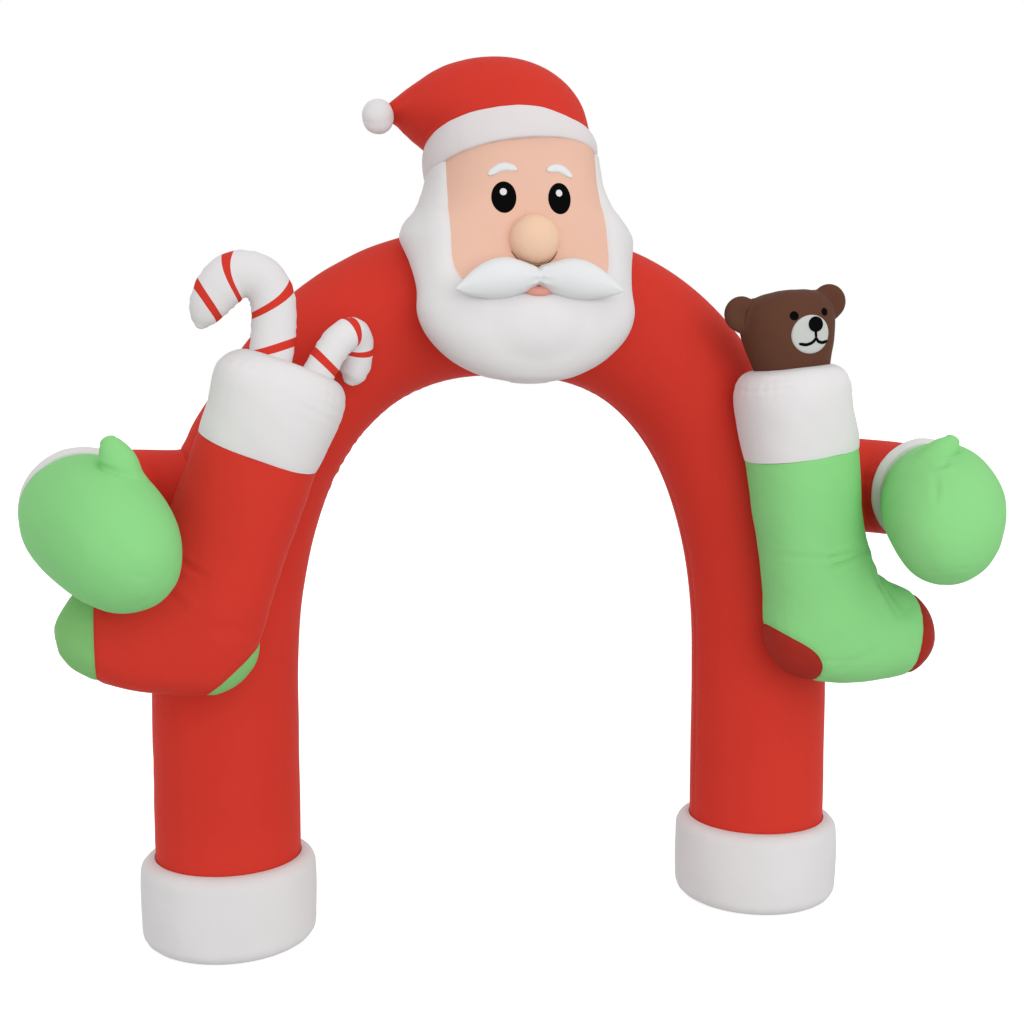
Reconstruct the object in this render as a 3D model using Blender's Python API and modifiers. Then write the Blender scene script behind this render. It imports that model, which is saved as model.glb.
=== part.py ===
"""A free-standing inflatable arch in the form of a bearded folk figure, with two stockings and two mittens.

Each sub-part is one filled solid, in the shape that the cloth takes when it is blown up.
Metres, +Z up, X across the passage, and -Y towards whoever stands in front.
Below, y = 0 is the plane of the tube and x = 0 the middle of the passage. SETBACK and SIDESTEP then put the
origin under the middle of the whole.
"""

import math

import bmesh
import bpy
import numpy as np
from mathutils import Matrix, Vector

GAP = 0.0003  # between pieces that are sewn to each other
SETBACK = 0.3060  # from the middle of the whole, where the origin is, back to the plane of the tube
SIDESTEP = -0.0245  # and from there to the middle of the passage, because one arm reaches further out

# The tube: two upright legs and a high round arch between them.
LEG_OFFSET = 0.925  # from the middle of the passage to a leg's axis
LEG_RADIUS = 0.235
CROWN_RADIUS = 0.243  # the tube is a little fatter at the top
SHOULDER_SLACK = 0.008  # and a little thinner on the way there
SPRING_HEIGHT = 0.71  # where the legs start to curve
CENTRE_RISE = 1.376  # from there to the top of the tube's axis
ARCH_POWER = 2.44  # 2 would be an ellipse, more is squarer
TUBE_SEGMENTS = 20
LEG_RINGS = 2
ARCH_RINGS = 30

# The cuff that each leg stands in.
CUFF_RADIUS = 0.282
CUFF_HEIGHT = 0.284
CUFF_SEAT = 0.277  # the leg stands a little below the cuff's rim
CUFF_CORNER = 0.047
CUFF_SHOULDER = 0.042
CUFF_SEGMENTS = 24

# The head: horizontal sections from the beard's tip to above the hat's brim.
# z, half width, front, back
HEAD_ROWS = (
    (1.828, 0.060, -0.430, -0.320),
    (1.846, 0.150, -0.465, -0.285),
    (1.893, 0.240, -0.498, -0.245),
    (1.960, 0.308, -0.518, -0.215),
    (2.030, 0.338, -0.515, -0.190),
    (2.110, 0.336, -0.490, -0.165),
    (2.190, 0.350, -0.462, -0.085),
    (2.265, 0.370, -0.443, 0.020),
    (2.300, 0.362, -0.437, 0.065),
    (2.330, 0.339, -0.432, 0.105),
    (2.370, 0.303, -0.428, 0.125),
    (2.430, 0.284, -0.423, 0.143),
    (2.480, 0.276, -0.418, 0.150),
    (2.560, 0.268, -0.412, 0.150),
    (2.660, 0.266, -0.400, 0.140),
)
HEAD_RINGS = 22
HEAD_SEGMENTS = 26
HEAD_POWER = 2.3
CHIN_CENTRE = (0.0, -0.365, 1.995)
CHIN_HALF_SIZES = (0.232, 0.175, 0.150)
CHIN_SEGMENTS = 20
FACE_RECESS = 0.010  # the face lies this far inside the hair round it
FACE_HALF_WIDTH = 0.242
FACE_BOTTOM = 2.085
FACE_CORNER = 0.105
FACE_CORNER_STEPS = 6
FACE_BACK = -0.25
NOSE_CENTRE = (0.0, -0.452, 2.252)
NOSE_RADIUS = 0.075
LIP_CENTRE = (0.0, -0.488, 2.094)
LIP_HALF_SIZES = (0.042, 0.034, 0.019)

# The moustache: sections across it, from the middle to one tip.
MOUSTACHE_RINGS = 19
MOUSTACHE_SEGMENTS = 12
# x, y, z, half height, half depth
MOUSTACHE_HALF = (
    (0.000, -0.492, 2.139, 0.031, 0.040),
    (0.045, -0.496, 2.138, 0.046, 0.052),
    (0.095, -0.500, 2.136, 0.059, 0.060),
    (0.145, -0.504, 2.130, 0.057, 0.055),
    (0.190, -0.510, 2.120, 0.043, 0.040),
    (0.225, -0.518, 2.109, 0.024, 0.022),
    (0.250, -0.526, 2.101, 0.006, 0.006),
)

# The hat: its brim is a thick band, tipped back and to one side, and the crown falls to that side.
HAT_CENTRE = (-0.007, -0.128, 2.538)
HAT_TILT = math.radians(15.0)  # the front is higher than the back
HAT_ROLL = math.radians(-5.0)  # the tip's side is lower
BAND_HALF_HEIGHT = 0.056
BAND_HALF_WIDTHS = (0.280, 0.273)  # at the brim, and at the seam with the crown
BAND_HALF_DEPTH = 0.297
BAND_ROUNDING = 0.012
BAND_RINGS = 7
BAND_POWER = 2.1
BAND_TOP = 0.0461  # the seam with the crown, above the band's middle
BAND_TOP_SLOPE = -0.0372  # and it is lower on the right
# right x, right z, left x, left z, half depth
CROWN_ROWS = (
    (0.265, 0.036, -0.261, 0.056, 0.276),
    (0.257, 0.110, -0.265, 0.070, 0.270),
    (0.225, 0.178, -0.280, 0.082, 0.259),
    (0.174, 0.233, -0.294, 0.092, 0.243),
    (0.106, 0.274, -0.307, 0.101, 0.222),
    (0.028, 0.301, -0.318, 0.111, 0.196),
    (-0.058, 0.309, -0.329, 0.120, 0.166),
    (-0.141, 0.302, -0.337, 0.128, 0.134),
    (-0.217, 0.280, -0.345, 0.135, 0.101),
    (-0.293, 0.240, -0.354, 0.141, 0.068),
    (-0.345, 0.208, -0.364, 0.147, 0.044),
    (-0.373, 0.188, -0.373, 0.160, 0.022),
)
CROWN_RINGS = 15
CROWN_SEGMENTS = 20
POMPOM_CENTRE = (-0.421, -0.13, 2.645)
POMPOM_HALF_SIZES = (0.049, 0.050, 0.053)

# Each arm: from the leg outward, round the elbow and on through the mitten. x is counted outward.
# x, y, z, radius
WRIST_AXIS = (0.0, -1.0, 0.0)
ARM_ROWS = {
    "left": (
        (0.900, 0.000, 1.445, 0.167),
        (1.060, -0.008, 1.444, 0.166),
        (1.195, -0.045, 1.450, 0.164),
        (1.292, -0.140, 1.453, 0.160),
        (1.325, -0.270, 1.453, 0.156),
    ),
    "right": (
        (0.900, 0.000, 1.462, 0.167),
        (1.060, -0.008, 1.462, 0.166),
        (1.203, -0.045, 1.461, 0.164),
        (1.320, -0.140, 1.457, 0.160),
        (1.374, -0.270, 1.453, 0.156),
    ),
}
# y, radius
WRIST_ROWS = ((-0.270, 0.168), (-0.298, 0.188), (-0.325, 0.172))
WRIST_MIDDLE = {"left": (1.325, 1.453), "right": (1.374, 1.453)}  # x outward and z
MITTEN_ROWS = (
    (1.346, -0.325, 1.463, 0.146),
    (1.335, -0.390, 1.462, 0.162),
    (1.306, -0.475, 1.456, 0.180),
    (1.269, -0.570, 1.441, 0.188),
    (1.231, -0.655, 1.416, 0.182),
    (1.196, -0.732, 1.382, 0.165),
    (1.166, -0.795, 1.347, 0.136),
    (1.146, -0.840, 1.321, 0.090),
    (1.135, -0.864, 1.306, 0.038),
)
THUMB_ROWS = {
    "left": (
        (1.164, -0.640, 1.490, 0.049),
        (1.178, -0.650, 1.530, 0.057),
        (1.193, -0.655, 1.569, 0.055),
        (1.206, -0.655, 1.607, 0.053),
        (1.217, -0.650, 1.634, 0.047),
        (1.227, -0.645, 1.658, 0.035),
        (1.234, -0.640, 1.673, 0.022),
    ),
    "right": (
        (1.201, -0.570, 1.462, 0.050),
        (1.212, -0.585, 1.501, 0.056),
        (1.223, -0.600, 1.540, 0.056),
        (1.240, -0.610, 1.575, 0.053),
        (1.258, -0.620, 1.600, 0.045),
        (1.273, -0.625, 1.619, 0.034),
        (1.283, -0.625, 1.634, 0.022),
    ),
}
# x outward and z: of the whole mitten, and more towards the finger tips
MITTEN_SHIFT = {"left": ((0.006, -0.006), (0.0, 0.0)), "right": ((0.029, -0.009), (-0.007, -0.014))}
MITTEN_LENGTH = 0.54
ARM_RINGS = 9
WRIST_RINGS = 5
MITTEN_RINGS = 14
THUMB_RINGS = 8
THUMB_SEGMENTS = 12
THUMB_CREASE = 0.0010  # the thumb stays this far outside the mitten

# One stocking, in its own plane: u towards the toe and w up, from the middle of the seam under its cuff.
# heel u, heel w, toe u, toe w, half depth
STOCKING_ROWS = (
    (-0.183, 0.000, 0.181, 0.000, 0.165),
    (-0.183, -0.140, 0.183, -0.140, 0.162),
    (-0.183, -0.280, 0.187, -0.268, 0.158),
    (-0.187, -0.415, 0.199, -0.366, 0.156),
    (-0.195, -0.520, 0.238, -0.436, 0.157),
    (-0.200, -0.622, 0.282, -0.476, 0.158),
    (-0.130, -0.720, 0.320, -0.502, 0.156),
    (0.030, -0.768, 0.346, -0.527, 0.150),
    (0.180, -0.779, 0.366, -0.555, 0.136),
    (0.290, -0.777, 0.380, -0.590, 0.110),
    (0.350, -0.752, 0.389, -0.632, 0.074),
    (0.370, -0.731, 0.392, -0.652, 0.052),
    (0.384, -0.712, 0.392, -0.670, 0.024),
)
# w, half width on the toe's side, half width on the heel's side, half depth
STOCKING_CUFF_ROWS = (
    (0.000, 0.181, 0.184, 0.160),
    (0.045, 0.183, 0.190, 0.168),
    (0.110, 0.181, 0.197, 0.176),
    (0.170, 0.178, 0.202, 0.178),
    (0.220, 0.168, 0.195, 0.170),
    (0.255, 0.148, 0.176, 0.150),
    (0.272, 0.118, 0.145, 0.122),
    (0.277, 0.070, 0.092, 0.076),
)
STOCKING_SEGMENTS = 18
STOCKING_RINGS = 20
STOCKING_POWER = 2.15
STOCKING_CUFF_RINGS = 10
STOCKING_CUFF_POWER = 2.3
CALF_LENGTH = 0.45  # down to where the heel starts
HEEL_TURN = -0.206
SOLE_MIDDLE = 0.180
CUFF_SIDE = 0.199
TOE_END = 0.392
SEAM_REACH = (-0.28, 0.17)  # how far down and up the lean of the seam under the cuff is felt
HEEL_SEAM_STEPS = 8
HEEL_SEAM_SKEW = 1.35  # its deepest point is nearer the sole
NARROW_PLACE = (-0.205, 0.09)  # where along the leg the toe's side is narrower
# seam: the middle of the seam under the cuff. calf_slack: how much slimmer the leg gets towards the heel.
# seam_lean: how much lower the seam is in front. seam_drop: how much lower it is all round.
# seam_tilt: how much higher it is towards the toe.
# cuff_swell: how much wider the cuff is on the toe's side, where that is, and how far it reaches.
# toe_slack: how much narrower the leg is on the toe's side. toe_extra: how much longer the foot is.
# heel_seam, toe_seam: points (u, w) on the seams of the patches. heel_bow: how far the heel's seam curves.
STOCKING_PLACE = {
    "left": {
        "side": -1,
        "seam": (-0.824, -0.375, 1.627),
        "lean": math.radians(20.0),
        "seam_lean": 0.133,
        "seam_drop": 0.0,
        "seam_tilt": 0.0,
        "cuff_swell": (0.020, 0.225, 0.060),
        "calf_slack": 0.0,
        "toe_slack": 0.0,
        "toe_extra": -0.015,
        "heel_seam": ((-0.197, -0.532), (-0.075, -0.762)),
        "heel_bow": 0.0,
        "toe_seam": (0.267, -0.650),
        "toe_normal": (0.940, -0.342),
    },
    "right": {
        "side": 1,
        "seam": (0.905, -0.375, 1.600),
        "lean": math.radians(6.0),
        "seam_lean": 0.048,
        "seam_drop": 0.003,
        "seam_tilt": 0.050,
        "cuff_swell": (-0.015, 0.150, 0.080),
        "calf_slack": 0.032,
        "toe_slack": 0.009,
        "toe_extra": 0.022,
        "heel_seam": ((-0.172, -0.538), (-0.045, -0.770)),
        "heel_bow": 0.056,
        "toe_seam": (0.323, -0.600),
        "toe_normal": (0.976, -0.218),
    },
}

# The two canes in the left stocking, and the bear in the right one.
# x, y, z, radius
CANE_ROWS = {
    "large": (
        (-0.774, -0.385, 1.800, 0.062),
        (-0.768, -0.385, 1.920, 0.064),
        (-0.766, -0.385, 2.030, 0.065),
        (-0.780, -0.385, 2.098, 0.067),
        (-0.820, -0.385, 2.136, 0.068),
        (-0.876, -0.385, 2.139, 0.069),
        (-0.923, -0.385, 2.098, 0.068),
        (-0.957, -0.385, 2.048, 0.057),
        (-0.977, -0.385, 2.009, 0.039),
        (-0.988, -0.385, 1.984, 0.014),
    ),
    "small": (
        (-0.672, -0.400, 1.800, 0.046),
        (-0.640, -0.400, 1.862, 0.047),
        (-0.604, -0.400, 1.922, 0.048),
        (-0.570, -0.392, 1.960, 0.048),
        (-0.540, -0.372, 1.974, 0.047),
        (-0.520, -0.345, 1.948, 0.047),
        (-0.522, -0.325, 1.896, 0.047),
        (-0.534, -0.318, 1.850, 0.040),
        (-0.546, -0.316, 1.826, 0.018),
    ),
}
CANE_RINGS = 18
CANE_SEGMENTS = 12
BEAR_BASE = (0.863, -0.38, 1.874)
BEAR_ROLL = math.radians(-8.0)
# z, half width, half depth
BEAR_ROWS = (
    (-0.020, 0.118, 0.098),
    (0.020, 0.127, 0.108),
    (0.070, 0.141, 0.118),
    (0.130, 0.152, 0.122),
    (0.180, 0.146, 0.116),
    (0.215, 0.120, 0.098),
    (0.235, 0.076, 0.064),
    (0.241, 0.030, 0.024),
)
BEAR_RINGS = 12
BEAR_POWER = 2.2
EAR_OFFSET = 0.150
EAR_HEIGHT = 0.188
EAR_HALF_SIZES = (0.053, 0.030, 0.053)

SMALL_SEGMENTS = 16
CUTTER_SIZE = (1.0, 0.6)  # a cutter reaches well past what it cuts
COLOURS = {  # red, green, blue, roughness
    "red_cloth": (0.60, 0.035, 0.020, 0.55),
    "dark_red_cloth": (0.36, 0.030, 0.022, 0.55),
    "white_cloth": (0.84, 0.82, 0.80, 0.55),
    "mint_cloth": (0.28, 0.74, 0.27, 0.55),
    "leaf_cloth": (0.19, 0.48, 0.15, 0.55),
    "skin_cloth": (0.80, 0.50, 0.36, 0.55),
    "lip_cloth": (0.72, 0.32, 0.26, 0.55),
    "brown_cloth": (0.14, 0.055, 0.036, 0.60),
}

part_collection = bpy.data.collections.new("inflatable_arch")
cutter_collection = bpy.data.collections.new("cutters")
origin = bpy.data.objects.new("arch_origin", None)


def clear_scene():
    for thing in list(bpy.data.objects):
        if thing != origin:
            bpy.data.objects.remove(thing, do_unlink=True)
    bpy.context.scene.collection.children.link(part_collection)
    bpy.context.scene.collection.children.link(cutter_collection)
    part_collection.objects.link(origin)
    origin.location = (SIDESTEP, SETBACK, 0.0)


def cloth(name):
    """The material of that name, made the first time it is asked for."""
    found = bpy.data.materials.get(name)
    if found:
        return found
    red, green, blue, roughness = COLOURS[name]
    made = bpy.data.materials.new(name)
    made.use_nodes = True
    made.diffuse_color = (red, green, blue, 1.0)
    shader = made.node_tree.nodes["Principled BSDF"]
    shader.inputs["Base Color"].default_value = (red, green, blue, 1.0)
    shader.inputs["Roughness"].default_value = roughness
    shader.inputs["Metallic"].default_value = 0.0
    return made


def add_object(name, shape, material=None):
    """A bmesh as a visible piece in its cloth, or as a hidden cutter where no cloth is named."""
    mesh = bpy.data.meshes.new(name)
    bmesh.ops.recalc_face_normals(shape, faces=shape.faces)
    shape.to_mesh(mesh)
    shape.free()
    mesh.shade_smooth()
    made = bpy.data.objects.new(name, mesh)
    made.parent = origin
    if material:
        mesh.materials.append(cloth(material))
        part_collection.objects.link(made)
    else:
        made.hide_render = True
        made.display_type = "WIRE"
        cutter_collection.objects.link(made)
    return made


def through_rows(rows, count):
    """A smooth curve through a table's rows, read at evenly spread places from first to last."""
    rows = np.array(rows, float)
    padded = np.vstack((2 * rows[0] - rows[1], rows, 2 * rows[-1] - rows[-2]))
    result = []
    for place in np.linspace(0, len(rows) - 1, count):
        start = min(int(place), len(rows) - 2)
        t = place - start
        before, a, b, after = padded[start:start + 4]
        curve = 2 * a + (b - before) * t
        curve += (2 * before - 5 * a + 4 * b - after) * t**2
        curve += (3 * a - before - 3 * b + after) * t**3
        result.append(curve / 2)
    return np.array(result)


def loft(name, sections, segments, material=None, power=2.0):
    """A closed body through sections, each a centre and its two half axes."""
    shape = bmesh.new()
    rings = []
    for centre, across, through in sections:
        ring = []
        for step in range(segments):
            angle = 2 * math.pi * (step + 0.5) / segments
            c, s = math.cos(angle), math.sin(angle)
            out = math.copysign(abs(c) ** (2 / power), c)
            deep = math.copysign(abs(s) ** (2 / power), s)
            ring.append(shape.verts.new(centre + across * out + through * deep))
        rings.append(ring)
    for low, high in zip(rings, rings[1:]):
        for k in range(segments):
            after = (k + 1) % segments
            shape.faces.new((low[k], low[after], high[after], high[k]))
    shape.faces.new(rings[0])
    shape.faces.new(rings[-1])
    return add_object(name, shape, material)


def tube_sections(path, radii, reference=(0, 1, 0), first=None, last=None):
    """Round sections square to a path, or at its ends to a direction that is given there."""
    path = np.array(path, float)
    along = np.gradient(path, axis=0)
    if first is not None:
        along[0] = first
    if last is not None:
        along[-1] = last
    sections = []
    for centre, direction, radius in zip(path, along, radii):
        direction = direction / np.linalg.norm(direction)
        across = np.cross(reference, direction)
        across /= np.linalg.norm(across)
        sections.append((centre, across * radius, np.cross(direction, across) * radius))
    return sections


def ellipsoid(name, centre, half_sizes, material=None, segments=SMALL_SEGMENTS, turn=None):
    shape = bmesh.new()
    bmesh.ops.create_uvsphere(shape, u_segments=segments, v_segments=segments // 2, radius=1.0)
    bmesh.ops.scale(shape, vec=half_sizes, verts=shape.verts)
    if turn:
        bmesh.ops.rotate(shape, cent=(0, 0, 0), matrix=turn, verts=shape.verts)
    bmesh.ops.translate(shape, vec=centre, verts=shape.verts)
    return add_object(name, shape, material)


def half_space(name, point, normal, size=2.0):
    """A cutter: a block that fills everything beyond a plane, on the side that the normal points to."""
    shape = bmesh.new()
    bmesh.ops.create_cube(shape, size=size)
    bmesh.ops.translate(shape, vec=(0, 0, size / 2), verts=shape.verts)
    turn = Vector((0, 0, 1)).rotation_difference(Vector(normal)).to_matrix()
    bmesh.ops.rotate(shape, cent=(0, 0, 0), matrix=turn, verts=shape.verts)
    bmesh.ops.translate(shape, vec=Vector(point), verts=shape.verts)
    return add_object(name, shape)


def boolean(thing, other, operation="DIFFERENCE"):
    step = thing.modifiers.new(f"{operation.lower()}_{other.name}", "BOOLEAN")
    step.operation = operation
    step.solver = "EXACT"
    step.object = other


# --- tube and feet -----------------------------------------------------------------------------


def arch_path():
    """Points along the tube's axis, from one foot to the other, and its radius at each."""
    heights = np.linspace(CUFF_SEAT + GAP, SPRING_HEIGHT, LEG_RINGS, endpoint=False)
    left = [(-LEG_OFFSET, z) for z in heights]
    curve = []
    for turn in np.linspace(0, math.pi, ARCH_RINGS):
        c, s = math.cos(turn), math.sin(turn)
        x = -LEG_OFFSET * math.copysign(abs(c) ** (2 / ARCH_POWER), c)
        curve.append((x, SPRING_HEIGHT + CENTRE_RISE * abs(s) ** (2 / ARCH_POWER)))
    right = [(-x, z) for x, z in reversed(left)]
    path = np.array([(x, 0.0, z) for x, z in left + curve + right])
    rise = np.clip((path[:, 2] - SPRING_HEIGHT) / CENTRE_RISE, 0, 1)
    radii = LEG_RADIUS + (CROWN_RADIUS - LEG_RADIUS) * rise - SHOULDER_SLACK * np.sin(math.pi * rise)
    return path, radii


def arch_tube():
    path, radii = arch_path()
    loft("arch_tube", tube_sections(path, radii), TUBE_SEGMENTS, "red_cloth")


def arch_clearance():
    path, radii = arch_path()
    return loft("arch_clearance", tube_sections(path, radii + GAP), TUBE_SEGMENTS)


def quarter(centre_x, centre_z, radius, start, steps=4):
    """Points on a quarter circle that runs down and outward from a start angle."""
    angles = [start - math.pi / 2 * k / steps for k in range(steps + 1)]
    return [(centre_x + radius * math.cos(a), centre_z + radius * math.sin(a)) for a in angles]


def foot_cuff(side, x):
    """A soft drum, turned about the leg's axis, with a flat seat for the leg and a flat underside."""
    profile = [(0.0, CUFF_SEAT), (LEG_RADIUS + 0.004, CUFF_SEAT)]
    profile += quarter(CUFF_RADIUS - CUFF_SHOULDER, CUFF_HEIGHT - CUFF_SHOULDER, CUFF_SHOULDER, math.pi / 2)
    profile += quarter(CUFF_RADIUS - CUFF_CORNER, CUFF_CORNER, CUFF_CORNER, 0.0)
    profile += [(0.0, 0.0)]
    shape = bmesh.new()
    points = [shape.verts.new((r, 0.0, z)) for r, z in profile]
    for a, b in zip(points, points[1:]):
        shape.edges.new((a, b))
    made = add_object(f"foot_cuff_{side}", shape, "white_cloth")
    made.location = (x, 0.0, 0.0)
    turn = made.modifiers.new("turned", "SCREW")
    turn.steps = CUFF_SEGMENTS
    turn.render_steps = CUFF_SEGMENTS
    turn.use_merge_vertices = True
    turn.merge_threshold = 0.0001


# --- head ---------------------------------------------------------------------------------------


def head_sections(grow=0.0):
    """The head's horizontal sections, each made larger all round by grow."""
    sections = []
    for z, half_width, front, back in through_rows(HEAD_ROWS, HEAD_RINGS):
        half_depth = (back - front) / 2 + grow
        centre = np.array((0.0, (front + back) / 2, z))
        sections.append((centre, np.array((half_width + grow, 0, 0)), np.array((0, half_depth, 0))))
    return sections


def head_form(name, grow=0.0, material=None):
    return loft(name, head_sections(grow), HEAD_SEGMENTS, material, HEAD_POWER)


def grown(half_sizes, amount=GAP):
    return tuple(size + amount for size in half_sizes)


def face_block(name, grow=0.0):
    """A cutter in the face panel's outline, with its lower corners rounded."""
    width = 2 * (FACE_HALF_WIDTH + grow)
    height, depth = CUTTER_SIZE
    shape = bmesh.new()
    bmesh.ops.create_cube(shape, size=1.0)
    bmesh.ops.scale(shape, vec=(width, depth, height), verts=shape.verts)
    place = (0.0, FACE_BACK + grow - depth / 2, FACE_BOTTOM - grow + height / 2)
    bmesh.ops.translate(shape, vec=place, verts=shape.verts)
    low_z = FACE_BOTTOM - grow + 0.001
    corners = [e for e in shape.edges if all(v.co.z < low_z for v in e.verts)
               and abs(e.verts[0].co.x - e.verts[1].co.x) < 0.001]
    size = FACE_CORNER + grow
    steps = FACE_CORNER_STEPS
    bmesh.ops.bevel(shape, geom=corners, offset=size, segments=steps, profile=0.5, affect="EDGES")
    return add_object(name, shape)


def hat_matrix():
    turn = Matrix.Rotation(HAT_ROLL, 4, "Y") @ Matrix.Rotation(-HAT_TILT, 4, "X")
    return Matrix.Translation(HAT_CENTRE) @ turn


def hat_point(x, y, z):
    return np.array(hat_matrix() @ Vector((x, y, z)))


def hat_direction(x, y, z):
    return np.array(hat_matrix().to_3x3() @ Vector((x, y, z)))


def hat_band():
    """A thick rounded drum round the brow, lower at its right where it meets the crown."""
    low, high = BAND_HALF_WIDTHS
    bottom = GAP - BAND_HALF_HEIGHT
    sections = []
    for step in np.linspace(-1, 1, BAND_RINGS):
        share = (step + 1) / 2
        inset = BAND_ROUNDING * (1 - (1 - step**2) ** 0.5)
        half_width = low + (high - low) * share - inset
        centre = hat_point(0, 0, bottom + (BAND_TOP - GAP - bottom) * share)
        across = hat_direction(half_width, 0, half_width * share * BAND_TOP_SLOPE)
        through = hat_direction(0, BAND_HALF_DEPTH - inset, 0)
        sections.append((centre, across, through))
    loft("hat_band", sections, HEAD_SEGMENTS, "white_cloth", BAND_POWER)


def hat_crown():
    """The red bag of the hat: its sections fan round from the brim to the tip at one side."""
    sections = []
    for right_x, right_z, left_x, left_z, half_depth in through_rows(CROWN_ROWS, CROWN_RINGS):
        right = hat_point(right_x, 0, right_z)
        left = hat_point(left_x, 0, left_z)
        sections.append(((right + left) / 2, (right - left) / 2, hat_direction(0, half_depth, 0)))
    return loft("hat_crown", sections, CROWN_SEGMENTS, "red_cloth")


def moustache():
    """One bolster with two lobes and a pinched middle."""
    rows = [(-x, y, z, high, deep) for x, y, z, high, deep in reversed(MOUSTACHE_HALF[1:])]
    rows += list(MOUSTACHE_HALF)
    sections = []
    for x, y, z, high, deep in through_rows(rows, MOUSTACHE_RINGS):
        sections.append((np.array((x, y, z)), np.array((0, 0, high)), np.array((0, deep, 0))))
    return loft("moustache", sections, MOUSTACHE_SEGMENTS, "white_cloth")


def head(tube):
    """Beard and hair, face, nose, moustache and lip, then the hat on top."""
    brim = hat_point(0, 0, -BAND_HALF_HEIGHT)
    up = hat_direction(0, 0, 1)
    above_brim = half_space("above_brim", brim, up)
    beard = head_form("beard", 0.0, "white_cloth")
    boolean(beard, ellipsoid("chin_form", CHIN_CENTRE, CHIN_HALF_SIZES, segments=CHIN_SEGMENTS), "UNION")
    boolean(beard, face_block("face_room", GAP))
    boolean(beard, above_brim)
    boolean(beard, tube)
    face = head_form("face_panel", -FACE_RECESS, "skin_cloth")
    boolean(face, face_block("face_outline"), "INTERSECT")
    boolean(face, above_brim)
    chin_room = ellipsoid("chin_room", CHIN_CENTRE, grown(CHIN_HALF_SIZES), segments=CHIN_SEGMENTS)
    nose = ellipsoid("nose", NOSE_CENTRE, (NOSE_RADIUS,) * 3, "skin_cloth")
    boolean(nose, head_form("face_room_for_nose", GAP - FACE_RECESS))
    head_room = head_form("head_room", GAP)
    whiskers = moustache()
    boolean(whiskers, head_room)
    boolean(whiskers, chin_room)
    boolean(whiskers, ellipsoid("nose_room", NOSE_CENTRE, grown((NOSE_RADIUS,) * 3)))
    boolean(whiskers, ellipsoid("lip_room", LIP_CENTRE, grown(LIP_HALF_SIZES)))
    lip = ellipsoid("lower_lip", LIP_CENTRE, LIP_HALF_SIZES, "lip_cloth")
    boolean(lip, head_room)
    boolean(lip, chin_room)
    hat_band()
    crown = hat_crown()
    ellipsoid("pompom", POMPOM_CENTRE, POMPOM_HALF_SIZES, "white_cloth")
    boolean(crown, ellipsoid("pompom_room", POMPOM_CENTRE, grown(POMPOM_HALF_SIZES)))


# --- arms ---------------------------------------------------------------------------------------


def shifted(rows, shift):
    """Rows of a mitten, moved as a whole and then more and more towards the finger tips."""
    wrist_y = MITTEN_ROWS[0][1]
    (whole_out, whole_up), (out, up) = shift
    result = []
    for x, y, z, radius in rows:
        share = (wrist_y - y) / MITTEN_LENGTH
        result.append((x + whole_out + out * share, y, z + whole_up + up * share, radius))
    return result


def arm_piece(name, rows, side, count, material=None, ends=(None, None), start_gap=0.0, grow=0.0,
              segments=SMALL_SEGMENTS):
    """Part of the arm's long round form. It can start a gap further on, with its ends set square."""
    table = through_rows(rows, count)
    path = table[:, :3] * np.array((side, 1, 1))
    path[0] += np.array(WRIST_AXIS) * start_gap
    sections = tube_sections(path, table[:, 3] + grow, (0, 0, 1), *ends)
    return loft(name, sections, segments, material)


def arm(side_name, side, tube):
    """The limb, its wrist band, the mitten and the thumb. Both seams at the wrist are square to it."""
    at_wrist = (WRIST_AXIS, WRIST_AXIS)
    at_start = (WRIST_AXIS, None)
    limb_rows = ARM_ROWS[side_name]
    limb = arm_piece(f"arm_{side_name}", limb_rows, side, ARM_RINGS, "red_cloth", (None, WRIST_AXIS))
    boolean(limb, tube)
    middle_x, middle_z = WRIST_MIDDLE[side_name]
    wrist = [(middle_x, y, middle_z, radius) for y, radius in WRIST_ROWS]
    arm_piece(f"wrist_band_{side_name}", wrist, side, WRIST_RINGS, "white_cloth", at_wrist, GAP)
    hand = shifted(MITTEN_ROWS, MITTEN_SHIFT[side_name])
    arm_piece(f"mitten_{side_name}", hand, side, MITTEN_RINGS, "mint_cloth", at_start, GAP)
    room_name = f"mitten_room_{side_name}"
    room = arm_piece(room_name, hand, side, MITTEN_RINGS, None, at_start, GAP, THUMB_CREASE)
    thumb = arm_piece(f"thumb_{side_name}", THUMB_ROWS[side_name], side, THUMB_RINGS, "mint_cloth",
                      segments=THUMB_SEGMENTS)
    boolean(thumb, room)


# --- stockings ----------------------------------------------------------------------------------


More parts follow.
